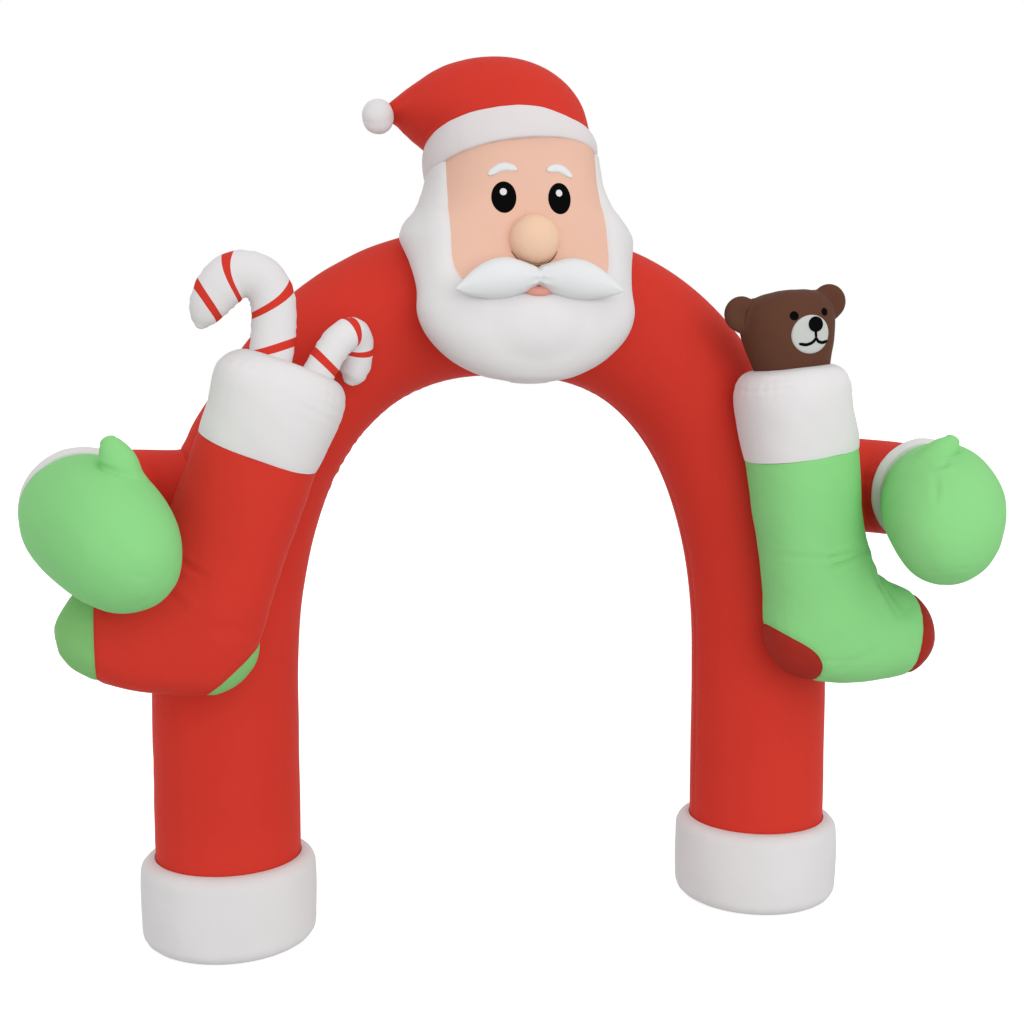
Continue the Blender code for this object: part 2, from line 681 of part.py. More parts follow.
class StockingFrame:
    """A stocking's own plane: u towards the toe, w up along its leg, both from its seam's middle."""

    def __init__(self, place):
        side, lean = place["side"], place["lean"]
        self.seam = np.array(place["seam"])
        self.toeward = np.array((side * math.cos(lean), 0.0, math.sin(lean)))
        self.up = np.array((-side * math.sin(lean), 0.0, math.cos(lean)))
        self.place = place

    def point(self, u, w, v=0.0):
        return self.seam + u * self.toeward + w * self.up + np.array((0.0, v, 0.0))

    def direction(self, u, w):
        return u * self.toeward + w * self.up

    def near_seam(self, w):
        """1 at the seam under the cuff, and 0 where its lean is no longer felt."""
        reach = SEAM_REACH[0] if w < 0 else SEAM_REACH[1]
        t = min(1.0, w / reach)
        return 1 - t * t * (3 - 2 * t)

    def heel_point(self, u, w):
        """A point on the heel's side: only the upright part of the leg gets slimmer."""
        down = min(1.0, -w / CALF_LENGTH)
        under = min(1.0, max(0.0, u - HEEL_TURN) / (SOLE_MIDDLE - HEEL_TURN))
        return self.point(u + self.place["calf_slack"] * down * (1 - under), w)

    def toe_point(self, u, w):
        middle, reach = NARROW_PLACE
        slack = self.place["toe_slack"] * math.exp(-(((w - middle) / reach) ** 2)) * (u < CUFF_SIDE)
        extra = self.place["toe_extra"] * min(1.0, max(0.0, u - CUFF_SIDE) / (TOE_END - CUFF_SIDE))
        return self.point(u - slack + extra, w)

    def section(self, heel, toe, w, half_depth):
        """A section between two points. Near the seam under the cuff it leans and drops with the seam."""
        share = self.near_seam(w)
        tilt = self.place["seam_tilt"] * share
        heel, toe = (end + self.up * (tilt * ((end - self.seam) @ self.toeward)) for end in (heel, toe))
        drop = self.direction(0, -self.place["seam_drop"] * share)
        rise = self.place["seam_lean"] * half_depth * share
        through = np.array((0.0, half_depth, 0.0)) + self.direction(0, rise)
        return (heel + toe) / 2 + drop, (toe - heel) / 2, through


def stocking_form(name, frame, material):
    sections = []
    for heel_u, heel_w, toe_u, toe_w, half_depth in through_rows(STOCKING_ROWS, STOCKING_RINGS):
        heel = frame.heel_point(heel_u, heel_w)
        toe = frame.toe_point(toe_u, toe_w)
        sections.append(frame.section(heel, toe, (heel_w + toe_w) / 2, half_depth))
    return loft(name, sections, STOCKING_SEGMENTS, material, STOCKING_POWER)


def stocking_cuff(name, frame, material=None, grow=0.0):
    sections = []
    swell, middle, reach = frame.place["cuff_swell"]
    for w, toe_half, heel_half, half_depth in through_rows(STOCKING_CUFF_ROWS, STOCKING_CUFF_RINGS):
        lift = GAP if w < GAP else grow
        toe_half = toe_half + swell * math.exp(-(((w - middle) / reach) ** 2))
        heel = frame.point(-heel_half - grow, w + lift)
        toe = frame.point(toe_half + grow, w + lift)
        sections.append(frame.section(heel, toe, w, half_depth + grow))
    return loft(name, sections, STOCKING_SEGMENTS, material, STOCKING_CUFF_POWER)


def seam_cutters(name, frame, point, normal):
    """Two cutters that meet at a straight seam: one for the patch, and one that leaves room for it."""
    middle = frame.point(*point)
    outward = frame.direction(*normal)
    patch = half_space(f"{name}_patch", middle + outward * GAP / 2, outward)
    room = half_space(f"{name}_room", middle - outward * GAP / 2, outward)
    return patch, room


def bowed_cutter(name, frame, start, chord, length, bow, back):
    """A prism with one curved side: all that lies on the heel's side of its seam, set back a little."""
    normal = np.array((chord[1], -chord[0]))
    outline = [start - 0.2 * chord - back * normal]
    for share in np.linspace(0, 1, HEEL_SEAM_STEPS):
        out = bow * math.sin(math.pi * share**HEEL_SEAM_SKEW) + back
        outline.append(start + share * length * chord - out * normal)
    outline.append(start + (length + 0.2) * chord - back * normal)
    outline.append(start + (length + 0.2) * chord + 0.4 * normal)
    outline.append(start - 0.2 * chord + 0.4 * normal)
    shape = bmesh.new()
    near, far = ([shape.verts.new(frame.point(u, w, v)) for u, w in outline] for v in (-0.4, 0.4))
    shape.faces.new(near)
    shape.faces.new(far[::-1])
    for k in range(len(outline)):
        after = (k + 1) % len(outline)
        shape.faces.new((near[k], near[after], far[after], far[k]))
    return add_object(name, shape)


def stocking(side_name, tube, leg_cloth, patch_cloth):
    place = STOCKING_PLACE[side_name]
    frame = StockingFrame(place)
    start, end = (np.array(point) for point in place["heel_seam"])
    length = float(np.linalg.norm(end - start))
    chord = (end - start) / length
    toe_patch, toe_room = seam_cutters(f"toe_{side_name}", frame, place["toe_seam"], place["toe_normal"])
    heel = (frame, start, chord, length, place["heel_bow"])
    heel_patch = bowed_cutter(f"heel_{side_name}_patch", *heel, -GAP / 2)
    heel_room = bowed_cutter(f"heel_{side_name}_room", *heel, GAP / 2)
    leg = stocking_form(f"stocking_leg_{side_name}", frame, leg_cloth)
    boolean(leg, toe_room)
    boolean(leg, heel_room)
    toe = stocking_form(f"stocking_toe_{side_name}", frame, patch_cloth)
    boolean(toe, toe_patch, "INTERSECT")
    heel = stocking_form(f"stocking_heel_{side_name}", frame, patch_cloth)
    boolean(heel, heel_patch, "INTERSECT")
    cuff = stocking_cuff(f"stocking_cuff_{side_name}", frame, "white_cloth")
    for piece in (leg, toe, heel, cuff):
        boolean(piece, tube)
    return stocking_cuff(f"cuff_room_{side_name}", frame, None, GAP)


# --- what stands in the stockings ---------------------------------------------------------------


def cane(size, cuff_room):
    """A fat hooked tube that stands in the stocking's cuff."""
    rows = through_rows(CANE_ROWS[size], CANE_RINGS)
    made = loft(f"cane_{size}", tube_sections(rows[:, :3], rows[:, 3]), CANE_SEGMENTS, "white_cloth")
    boolean(made, cuff_room)
    return made


def bear(cuff_room):
    place = Matrix.Translation(BEAR_BASE) @ Matrix.Rotation(BEAR_ROLL, 4, "Y")
    turn = place.to_3x3()
    forms = {}
    for name, grow, material in (("bear_head", 0.0, "brown_cloth"), ("bear_room", GAP, None)):
        sections = []
        for z, half_width, half_depth in through_rows(BEAR_ROWS, BEAR_RINGS):
            centre = np.array(place @ Vector((0, 0, z)))
            across = np.array(turn @ Vector((half_width + grow, 0, 0)))
            sections.append((centre, across, np.array((0.0, half_depth + grow, 0.0))))
        forms[name] = loft(name, sections, SMALL_SEGMENTS, material, BEAR_POWER)
    boolean(forms["bear_head"], cuff_room)
    for side_name, side in (("left", -1), ("right", 1)):
        centre = place @ Vector((side * EAR_OFFSET, 0.0, EAR_HEIGHT))
        ear = ellipsoid(f"bear_ear_{side_name}", centre, EAR_HALF_SIZES, "brown_cloth", turn=turn)
        boolean(ear, forms["bear_room"])


def main():
    clear_scene()
    arch_tube()
    tube = arch_clearance()
    foot_cuff("left", -LEG_OFFSET)
    foot_cuff("right", LEG_OFFSET)
    head(tube)
    arm("left", -1, tube)
    arm("right", 1, tube)
    left_room = stocking("left", tube, "red_cloth", "leaf_cloth")
    right_room = stocking("right", tube, "mint_cloth", "dark_red_cloth")
    cane("large", left_room)
    cane("small", left_room)
    bear(right_room)


main()
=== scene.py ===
import math

import bpy
import numpy as np
from mathutils import Matrix, Vector


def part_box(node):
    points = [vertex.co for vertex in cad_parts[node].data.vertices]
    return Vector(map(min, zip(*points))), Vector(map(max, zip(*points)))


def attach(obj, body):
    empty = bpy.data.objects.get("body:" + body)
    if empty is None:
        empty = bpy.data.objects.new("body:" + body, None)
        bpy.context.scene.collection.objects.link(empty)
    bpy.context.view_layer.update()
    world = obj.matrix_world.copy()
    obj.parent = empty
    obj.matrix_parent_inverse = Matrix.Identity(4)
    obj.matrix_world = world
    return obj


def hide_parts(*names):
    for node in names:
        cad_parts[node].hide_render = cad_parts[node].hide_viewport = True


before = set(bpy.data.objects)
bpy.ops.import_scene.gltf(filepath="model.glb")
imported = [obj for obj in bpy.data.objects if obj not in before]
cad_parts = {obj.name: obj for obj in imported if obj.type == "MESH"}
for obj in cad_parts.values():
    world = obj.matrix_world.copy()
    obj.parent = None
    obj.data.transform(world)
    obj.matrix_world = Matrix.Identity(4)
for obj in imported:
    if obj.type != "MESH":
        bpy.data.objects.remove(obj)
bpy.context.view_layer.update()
print("frame loaded:", len(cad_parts), "nodes")

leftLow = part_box("foot_cuff_left")[0]
rightLow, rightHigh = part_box("foot_cuff_right")
planeY = (rightLow.y + rightHigh.y) / 2  # the plane of the tube, from which the tables below count y
middleX = (leftLow.x + rightHigh.x) / 2  # the middle of the passage, from which they count x
onPlane = np.array((0, planeY, 0))
gap = 0.0003  # between pieces that are sewn to each other
sides = {"left": -1, "right": 1}


# ---- mesh helpers


# a smooth curve through the rows, read at count places, which lie closer towards its end if crowd is over 1
def throughRows(rows, count, crowd=1.0):
    rows = np.array(rows, float)
    padded = np.vstack((2 * rows[0] - rows[1], rows, 2 * rows[-1] - rows[-2]))
    place = (len(rows) - 1) * (1 - np.linspace(1, 0, count) ** crowd)
    start = np.minimum(place.astype(int), len(rows) - 2)
    t = (place - start)[:, None]
    before, a, b, after = (padded[start + k] for k in range(4))
    curve = 2 * a + (b - before) * t + (2 * before - 5 * a + 4 * b - after) * t**2
    return (curve + (3 * a - before - 3 * b + after) * t**3) / 2


def evenly(path, count):  # the same path with its points at even distances
    run = np.concatenate(([0], np.cumsum(np.linalg.norm(np.diff(path[:, :3], axis=0), axis=1))))
    wanted = np.linspace(0, run[-1], count)
    return np.stack([np.interp(wanted, run, column) for column in path.T], axis=1)


def unit(vectors):
    return vectors / np.linalg.norm(vectors, axis=-1, keepdims=True)


def smooth(values, low, high):  # 0 below low, 1 above high
    t = np.clip((values - low) / (high - low), 0, 1)
    return t * t * (3 - 2 * t)


def hump(distance, width):  # 1 at no distance, and next to nothing from twice the width on
    return np.exp(-((distance / width) ** 2))


def tubeSections(path, radii, reference, first=None, last=None):  # round sections square to a path
    along = np.gradient(path, axis=0)
    if first is not None:
        along[0] = first
    if last is not None:
        along[-1] = last
    along = unit(along)
    across = unit(np.cross(reference, along))
    return path, across * radii[:, None], np.cross(along, across) * radii[:, None]


def domed(sections, ends):  # adds the rings that close each end, flat where the depth is 0
    centre, across, through = sections
    share = np.linspace(0, 1, 7)[1:-1, None]
    caps = []
    for end, inner, depth in ((0, 1, ends[0]), (-1, -2, ends[1])):
        away = unit(centre[end] - centre[inner])
        scale = np.cos(share * math.pi / 2) if depth else 1 - share
        lifted = centre[end] + away * depth * np.sin(share * math.pi / 2)
        caps.append((lifted, across[end] * scale, through[end] * scale, centre[end] + away * depth))
    (*head, firstPole), (*tail, lastPole) = caps
    joined = [np.vstack((a[::-1], b, c)) for a, b, c in zip(head, sections, tail)]
    return joined, firstPole, lastPole


def makePiece(name, points, faces, around, along, wrap):
    mesh = bpy.data.meshes.new(name)
    mesh.from_pydata(points.tolist(), [], faces)
    for label, values in (("around", around), ("along", along)):
        mesh.attributes.new(label, "FLOAT", "POINT").data.foreach_set("value", values.astype(np.float32))
    layer = mesh.uv_layers.new(name="UVMap")
    corner = np.zeros(len(mesh.loops), np.int32)
    mesh.loops.foreach_get("vertex_index", corner)
    u, v = around[corner], along[corner]
    size = np.array([len(f) for f in faces])
    first = np.concatenate(([0], np.cumsum(size)[:-1]))
    widest = np.repeat(np.maximum.reduceat(u, first), size)
    u = np.where((widest > 0.75) & (u < 0.25), u + 1, u)  # faces from the last column to the first
    layer.data.foreach_set("uv", np.stack((u * wrap, v), axis=1).ravel())
    piece = bpy.data.objects.new(name, mesh)
    bpy.context.scene.collection.objects.link(piece)
    outward(piece)
    return piece


def pick(piece):
    bpy.ops.object.select_all(action="DESELECT")
    piece.select_set(True)
    bpy.context.view_layer.objects.active = piece


def outward(piece):
    pick(piece)
    bpy.ops.object.mode_set(mode="EDIT")
    bpy.ops.mesh.select_all(action="SELECT")
    bpy.ops.mesh.normals_make_consistent(inside=False)
    bpy.ops.object.mode_set(mode="OBJECT")


def ringFaces(low, high, count):  # the faces between two rings, whose points start at low and at high
    near = np.arange(count)
    after = np.roll(near, -1)
    return np.stack((low + near, low + after, high + after, high + near), axis=1).tolist()


def fan(first, pole, count):  # the faces between a ring and the point in its middle
    return [(first + k, first + (k + 1) % count, pole) for k in range(count)]


def loft(name, sections, columns, power=2.0, ends=(0.0, 0.0)):
    (centre, across, through), firstPole, lastPole = domed(sections, ends)
    angle = 2 * math.pi * np.arange(columns) / columns
    c, s = (np.copysign(np.abs(x) ** (2 / power), x)[None, :, None] for x in (np.cos(angle), np.sin(angle)))
    grid = centre[:, None] + across[:, None] * c + through[:, None] * s
    rings = len(grid)
    step = np.linalg.norm(np.diff(grid, axis=0), axis=2).mean(axis=1)
    run = np.concatenate(([0], np.cumsum(step)))
    wrap = np.linalg.norm(np.diff(grid, axis=1), axis=2).sum(axis=1).max()
    points = np.vstack((grid.reshape(-1, 3), firstPole, lastPole))
    top = (rings - 1) * columns
    faces = [face for low in range(0, top, columns) for face in ringFaces(low, low + columns, columns)]
    faces += fan(0, rings * columns, columns) + fan(top, rings * columns + 1, columns)
    around = np.concatenate((np.tile(np.arange(columns) / columns, rings), (0.5, 0.5)))
    along = np.concatenate((np.repeat(run, columns), (run[0], run[-1])))
    return makePiece(name, points, faces, around, along, wrap)


def pointsOf(piece):
    co = np.zeros(len(piece.data.vertices) * 3)
    piece.data.vertices.foreach_get("co", co)
    return co.reshape(-1, 3)


def normalsOf(piece):
    found = np.zeros(len(piece.data.vertices) * 3)
    piece.data.vertices.foreach_get("normal", found)
    return found.reshape(-1, 3)


def valueOf(piece, label):
    values = np.zeros(len(piece.data.vertices), np.float32)
    piece.data.attributes[label].data.foreach_get("value", values)
    return values.astype(float)


def surface(piece):  # its points, the share of a turn at which each lies, and metres along the piece
    return pointsOf(piece), valueOf(piece, "around"), valueOf(piece, "along")


def fromSeam(around, seam):  # the share of a turn from a seam, less than 0 before it
    return np.mod(around - seam + 0.5, 1) - 0.5


def place(piece, points):
    piece.data.vertices.foreach_set("co", points.ravel())
    piece.data.update()


def swell(piece, offsets):  # moves each point along its own normal
    place(piece, pointsOf(piece) + normalsOf(piece) * offsets[:, None])


def cut(piece, point, normal):  # takes away what lies beyond a plane, and closes the cut
    pick(piece)
    bpy.ops.object.mode_set(mode="EDIT")
    bpy.ops.mesh.select_all(action="SELECT")
    bpy.ops.mesh.bisect(plane_co=point, plane_no=normal, use_fill=True, clear_outer=True)
    bpy.ops.mesh.select_all(action="SELECT")
    bpy.ops.mesh.normals_make_consistent(inside=False)
    bpy.ops.object.mode_set(mode="OBJECT")


def copied(piece, name):
    twin = piece.copy()
    twin.data = piece.data.copy()
    twin.name = twin.data.name = name
    bpy.context.scene.collection.objects.link(twin)
    return twin


def markSeam(piece, distance, run):  # metres to the nearest seam and along it, for the stitches and the painted shade along the seam
    for label, values in (("seamGap", distance), ("seamRun", run)):
        found = piece.data.attributes.get(label) or piece.data.attributes.new(label, "FLOAT", "POINT")
        found.data.foreach_set("value", np.asarray(values, np.float32))


def finished(piece, kind, node=None, sharp=50):
    if "seamGap" not in piece.data.attributes:
        far = np.ones(len(piece.data.vertices))
        markSeam(piece, far, far)
    piece.data.materials.clear()
    piece.data.materials.append(cloth[kind])
    place(piece, pointsOf(piece) + np.array((middleX, 0, 0)))
    pick(piece)
    bpy.ops.object.shade_smooth_by_angle(angle=math.radians(sharp))
    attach(piece, "root")
    if node:
        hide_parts(node)


# ---- how blown-up cloth behaves: grooves and gathers at seams, creases, and a slight unevenness

# in the tables, grooves are depth and width, folds size, pitch, reach and maybe seed, swells size and pitch


def uneven(co, size, pitch):  # slow swells over the whole surface
    x, y, z = (co * (2 * math.pi / pitch)).T
    wave = np.sin(x + 0.7 * np.sin(0.61 * z)) + np.sin(0.83 * y + 1.3 + 0.9 * np.sin(0.47 * x))
    wave += np.sin(0.91 * z + 2.1 + 0.8 * np.sin(0.53 * y)) + 0.5 * np.sin(1.7 * (x + z) + 0.4)
    return wave * size / 3


def groove(distance, depth, width):
    return -depth * hump(distance, width)


def gathers(distance, run, size, pitch, reach, seed=0.0):  # small folds square to a seam, which fade
    turn = 2 * math.pi * run / pitch
    turn = turn + 1.1 * np.sin(turn * 0.37 + seed) + 0.8 * np.sin(turn * 0.171 + 2 * seed)
    lobes = 1 - 2 * np.abs(np.cos(turn / 2)) ** 1.6
    length = reach * (0.75 + 0.35 * np.sin(turn * 0.29 + seed * 3))
    return size * lobes * np.exp(-(np.abs(distance) / length) ** 1.3)


def creases(p, q, lines):  # soft folds along flat lines, each given as its start, end, width and depth
    total = np.zeros(len(p))
    for start, end, width, depth in lines:
        run = np.subtract(end, start)
        away = np.stack((p, q), axis=1) - start
        share = np.clip(away @ run / (run @ run), 0, 1)
        distance = np.linalg.norm(away - np.outer(share, run), axis=1)
        fade = np.sin(math.pi * np.clip(0.15 + 0.7 * share, 0, 1)) ** 0.7
        total += fade * depth * (0.45 * hump(distance - 1.7 * width, width) - hump(distance, width))
    return total


def nearestRing(points, path, slack):  # the nearest ring once slack is taken off, and how far its middle is
    index, distance = np.empty(len(points), int), np.empty(len(points))
    for start in range(0, len(points), 4000):  # in blocks, to save memory
        block = slice(start, start + 4000)
        apart = np.linalg.norm(points[block, None] - path[None], axis=2)
        index[block] = (apart - slack).argmin(axis=1)
        distance[block] = apart[np.arange(len(apart)), index[block]]
    return index, distance


def skinGap(points, path, radii):  # metres from each point to the skin of a tube
    index, distance = nearestRing(points, path, radii)
    return distance - radii[index]


def pushedOut(points, path, radii, slack=0.0):  # presses points that lie in a tube out to its skin
    index, distance = nearestRing(points, path, slack)
    away = (points - path[index]) / np.maximum(distance, 1e-6)[:, None]
    inside = distance < radii[index]
    return np.where(inside[:, None], path[index] + away * radii[index, None], points)


def fillet(distance, reach):  # how far two forms that are joined swell towards each other
    return np.clip(reach - np.abs(distance), 0, None) ** 2 / (4 * reach)


# ---- the camera, from where the photograph was taken

camera = {"lens": 50, "place": (-1.011, -4.642, 1.884), "yaw": -12.66, "pitch": -5.97}


def addCamera():
    made = bpy.data.objects.new("camera", bpy.data.cameras.new("camera"))
    made.data.lens = camera["lens"]
    made.location = Vector(camera["place"]) + Vector((middleX, planeY, 0))
    made.rotation_euler = (math.radians(90 + camera["pitch"]), 0, math.radians(camera["yaw"]))
    bpy.context.scene.collection.objects.link(made)
    bpy.context.scene.camera = made


addCamera()


# ---- materials


class Value:
    def __init__(self, graph, socket):
        self.graph, self.socket = graph, socket

    def __add__(self, other):
        return self.graph.maths("ADD", self, other)

    def __sub__(self, other):
        return self.graph.maths("SUBTRACT", self, other)

    def __mul__(self, other):
        return self.graph.maths("MULTIPLY", self, other)

    def __truediv__(self, other):
        return self.graph.maths("DIVIDE", self, other)

    def __lt__(self, other):
        return self.graph.maths("LESS_THAN", self, other)


class Graph:
    def __init__(self, owner):
        owner.use_nodes = True
        self.tree = owner.node_tree

    def node(self, kind, settings=(), sockets=(), output=0):
        made = self.tree.nodes.new(kind)
        for key, value in dict(settings).items():
            setattr(made, key, value)
        self.feed(made, sockets)
        return Value(self, made.outputs[output])

    def feed(self, node, sockets):
        for key, value in dict(sockets).items():
            if isinstance(value, Value):
                self.tree.links.new(value.socket, node.inputs[key])
            else:
                node.inputs[key].default_value = value

    def maths(self, operation, *values):
        return self.node("ShaderNodeMath", {"operation": operation}, dict(enumerate(values)))

    def attribute(self, name):
        return self.node("ShaderNodeAttribute", {"attribute_name": name}, (), 2)

    def mixed(self, share, first, second):
        settings = {"data_type": "RGBA", "blend_type": "MIX"}
        return self.node("ShaderNodeMix", settings, {0: share, 6: first, 7: second}, 2)

    def noise(self, scale, detail=2.0):
        where = self.node("ShaderNodeTexCoord", (), (), 3)
        return self.node("ShaderNodeTexNoise", (), {"Vector": where, "Scale": scale, "Detail": detail})


weave = {
    # crease: how far from a seam the painted shade of the seam's pinch reaches
    "thread": 0.0009, "height": 0.00006, "crumple": 0.0022, "crease": 0.0011,
    # the stitches: pitch, share of it that is thread, how far from the seam, half width and depth
    "stitch": 0.0048, "dash": 0.62, "offset": 0.0055, "halfLine": 0.0006, "sunk": 0.0003,
    "roughness": 0.55, "shine": 0.04,
}


def shade(colour, factor):
    return tuple(min(1.0, c * factor) for c in colour) + (1.0,)


def clothMaterial(name, colour, stripe=None, shine=weave["shine"]):
    material = bpy.data.materials.new(name)
    g = Graph(material)
    base = g.mixed(g.noise(3.5), shade(colour, 0.93), shade(colour, 1.05))
    if stripe:
        base = g.mixed(g.attribute("stripeGap") < 0, base, shade(stripe, 1.0))
    distance = g.maths("ABSOLUTE", g.attribute("seamGap"))
    dash = g.maths("FRACT", g.attribute("seamRun") / weave["stitch"]) < weave["dash"]
    line = g.maths("ABSOLUTE", distance - weave["offset"]) < weave["halfLine"]
    # painted shade: within weave["crease"] of a seam the colour darkens towards half, for the shade in the
    # seam's pinch
    base = g.mixed((distance < weave["crease"]) * 0.25, base, shade(colour, 0.5))
    base = g.mixed(line * dash * 0.8, base, shade(colour, 0.72))
    uv = g.node("ShaderNodeUVMap", {"uv_map": "UVMap"})
    across, down = (g.node("ShaderNodeSeparateXYZ", (), {0: uv}, k) for k in (0, 1))
    turn = 2 * math.pi / weave["thread"]
    threads = g.maths("SINE", across * turn) * g.maths("SINE", down * turn)
    height = threads * weave["height"] + g.noise(26.0, 4.0) * weave["crumple"] - line * dash * weave["sunk"]
    g.feed(material.node_tree.nodes["Principled BSDF"], {
        "Base Color": base,
        "Roughness": g.noise(40.0) * 0.1 + weave["roughness"],
        "Normal": g.node("ShaderNodeBump", (), {"Height": height, "Strength": 0.55, "Distance": 1.0}),
        "Specular IOR Level": shine,
    })
    return material


colours = {
    "red": (0.65, 0.042, 0.027),
    "darkRed": (0.36, 0.028, 0.018),
    "white": (0.755, 0.735, 0.740),
    "bandWhite": (0.745, 0.700, 0.705),
    "coolWhite": (0.765, 0.775, 0.785),
    "muzzleWhite": (0.56, 0.57, 0.55),
    "mint": (0.258, 0.65, 0.238),
    "leaf": (0.235, 0.535, 0.18),
    "skin": (0.80, 0.50, 0.385),
    "nose": (0.86, 0.58, 0.41),
    "lip": (0.72, 0.33, 0.27),
    "brown": (0.112, 0.046, 0.028),
    "black": (0.002, 0.002, 0.002),
}
cloth = {name: clothMaterial(name + "Cloth", colour) for name, colour in colours.items() if name != "black"}
cloth["black"] = clothMaterial("blackCloth", colours["black"], shine=0.02)
cloth["striped"] = clothMaterial("stripedCloth", colours["white"], colours["red"])
print("materials made")


# ---- the tube, its two legs and the arch between them

arch = {
    "legRadius": 0.235, "crownRadius": 0.243, "shoulderSlack": 0.008, "spring": 0.71, "rise": 1.376,
    "power": 2.44, "rings": 410, "columns": 144, "armFillet": 0.04,
    "innerFolds": (0.0031, 0.050, 0.060, 0.4), "outerFolds": (0.0006, 0.11, 0.05, 1.7),
    "innerGroove": (0.004, 0.010), "outerGroove": (0.0035, 0.010), "swells": (0.0016, 0.42),
    "foldsAbove": (1.35, 1.55), "foldsLeftOf": (0.22, 0.36), "foldsRight": 0.12,  # z, -x, least share
    "shoulder": (-1.02, 1.66, 0.020, 0.11),  # the left one is fuller above the arm: x, z, how much, reach
    "tucks": ((0.44, 2.14, 0.006, 0.014), (-0.40, 2.16, 0.007, 0.05)),  # x, z, depth, reach
}


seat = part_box("arch_tube")[0].z  # the legs stand here, a little below the rims of the cuffs
footMiddle = (rightLow.x + rightHigh.x) / 2 - middleX


def archPath():
    turn = np.linspace(0, math.pi, 721)
    c, s = np.cos(turn), np.sin(turn)
    share = 2 / arch["power"]
    x = -footMiddle * np.copysign(np.abs(c) ** share, c)
    bow = np.stack((x, arch["spring"] + arch["rise"] * np.abs(s) ** share), axis=1)
    bow = np.vstack(((bow[0, 0], seat), bow, (bow[-1, 0], seat)))
    path = evenly(np.stack((bow[:, 0], np.full(len(bow), planeY), bow[:, 1]), axis=1), arch["rings"])
    rise = np.clip((path[:, 2] - arch["spring"]) / arch["rise"], 0, 1)
    radii = arch["legRadius"] + (arch["crownRadius"] - arch["legRadius"]) * rise
    return path, radii - arch["shoulderSlack"] * np.sin(math.pi * rise)


tubePath, tubeRadii = archPath()


def offTube(points, grow=0.0006):
    return pushedOut(points, tubePath, tubeRadii + grow)


def makeArch():
    sections = tubeSections(tubePath, tubeRadii, (0, 1, 0), (0, 0, 1), (0, 0, -1))
    tube = loft("archTube", sections, arch["columns"])
    co, around, along = surface(tube)
    x, y, z = co.T
    inner, outer = (fromSeam(around, seam) * 2 * math.pi * arch["legRadius"] for seam in (0.0, 0.5))
    least = arch["foldsRight"]
    bend = smooth(z, *arch["foldsAbove"]) * (least + (1 - least) * smooth(-x, *arch["foldsLeftOf"]))
    pulled = 0.6 + 0.4 * np.sin(along * 9.0)
    offset = gathers(inner, along, *arch["innerFolds"]) * bend * pulled
    offset += gathers(outer, along, *arch["outerFolds"]) + uneven(co, *arch["swells"])
    offset += groove(inner, *arch["innerGroove"]) + groove(outer, *arch["outerGroove"])
    atX, atZ, size, reach = arch["shoulder"]
    offset += size * hump(np.hypot(x - atX, z - atZ), reach) * (np.abs(outer) < 0.5)
    for atX, atZ, depth, reach in arch["tucks"]:
        offset += groove(np.hypot(x - atX, z - atZ), depth, reach) * (y < planeY)
    for label, side in sides.items():
        offset += fillet(skinGap(co, *armPath(arm["limb"][label], side, 50)), arch["armFillet"])
    offset *= smooth(z - seat, 0.0, 0.05)
    rim = np.hypot(np.abs(x) - footMiddle, y - planeY) > 0.2
    swell(tube, np.where(z < seat + 2 * gap, np.minimum(offset, 0) * rim, offset))
    markSeam(tube, np.where(np.abs(inner) < np.abs(outer), inner, outer), along)
    finished(tube, "red", "arch_tube")


# ---- the drums that the legs stand in

foot = {
    "corner": 0.050, "shoulder": 0.044, "seatRadius": 0.2362, "bulge": 0.003, "columns": 132,
    "rimInset": 0.012, "rimFolds": (0.0007, 0.09, 0.05), "hemInset": (0.010, 0.012),
    "hemFolds": (0.0014, 0.075, 0.05), "stitches": 0.004, "swells": (0.0022, 0.31),
    "seed": {"left": 1.7, "right": 4.1},
}


def makeFoot(side):
    low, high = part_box(f"foot_cuff_{side}")
    radius = (high.x - low.x) / 2
    middle = np.array(((low.x + high.x) / 2 - middleX, planeY, 0.0))
    corner, shoulder, seed = foot["corner"], foot["shoulder"], foot["seed"][side]
    turn = np.linspace(0, math.pi / 2, 9)
    wall = np.linspace(0, 1, 14)[1:-1]
    rows = (
        (corner * (1 - np.cos(turn)), radius - corner * (1 - np.sin(turn))),
        (corner + (high.z - shoulder - corner) * wall, radius + foot["bulge"] * np.sin(math.pi * wall)),
        (high.z - shoulder * (1 - np.cos(turn[::-1])), radius - shoulder * (1 - np.sin(turn[::-1]))),
        ((seat - gap,), (foot["seatRadius"],)),
    )
    height, wide = (np.concatenate(column) for column in zip(*rows))
    centre = middle + np.outer(height, (0, 0, 1))
    sections = (centre, np.outer(wide, (1, 0, 0)), np.outer(wide, (0, 1, 0)))
    drum = loft(f"footCuff{side.title()}", sections, foot["columns"])
    co, around = surface(drum)[:2]
    z, run = co[:, 2], around * 2 * math.pi * radius
    wide = np.hypot(co[:, 0] - middle[0], co[:, 1] - planeY)
    rim = np.hypot(wide - radius + foot["rimInset"], z - high.z + foot["rimInset"])
    hem = np.hypot(wide - radius + foot["hemInset"][0], z - foot["hemInset"][1])
    offset = gathers(rim, run, *foot["rimFolds"], seed) + gathers(hem, run, *foot["hemFolds"], seed + 1)
    offset += uneven(co + seed, *foot["swells"])
    offset *= smooth(wide, foot["seatRadius"] + 0.001, foot["seatRadius"] + 0.02)
    swell(drum, offset * smooth(z, 0.001, 0.03))
    co = pointsOf(drum)
    co[:, 2] = np.clip(co[:, 2], 0.0, high.z + 0.002)
    place(drum, co)
    markSeam(drum, hem + foot["stitches"], run)
    finished(drum, "white", f"foot_cuff_{side}")


for side in sides:
    makeFoot(side)
print("feet made")


# ---- the head: hair and beard in one, from the beard's tip to the brim

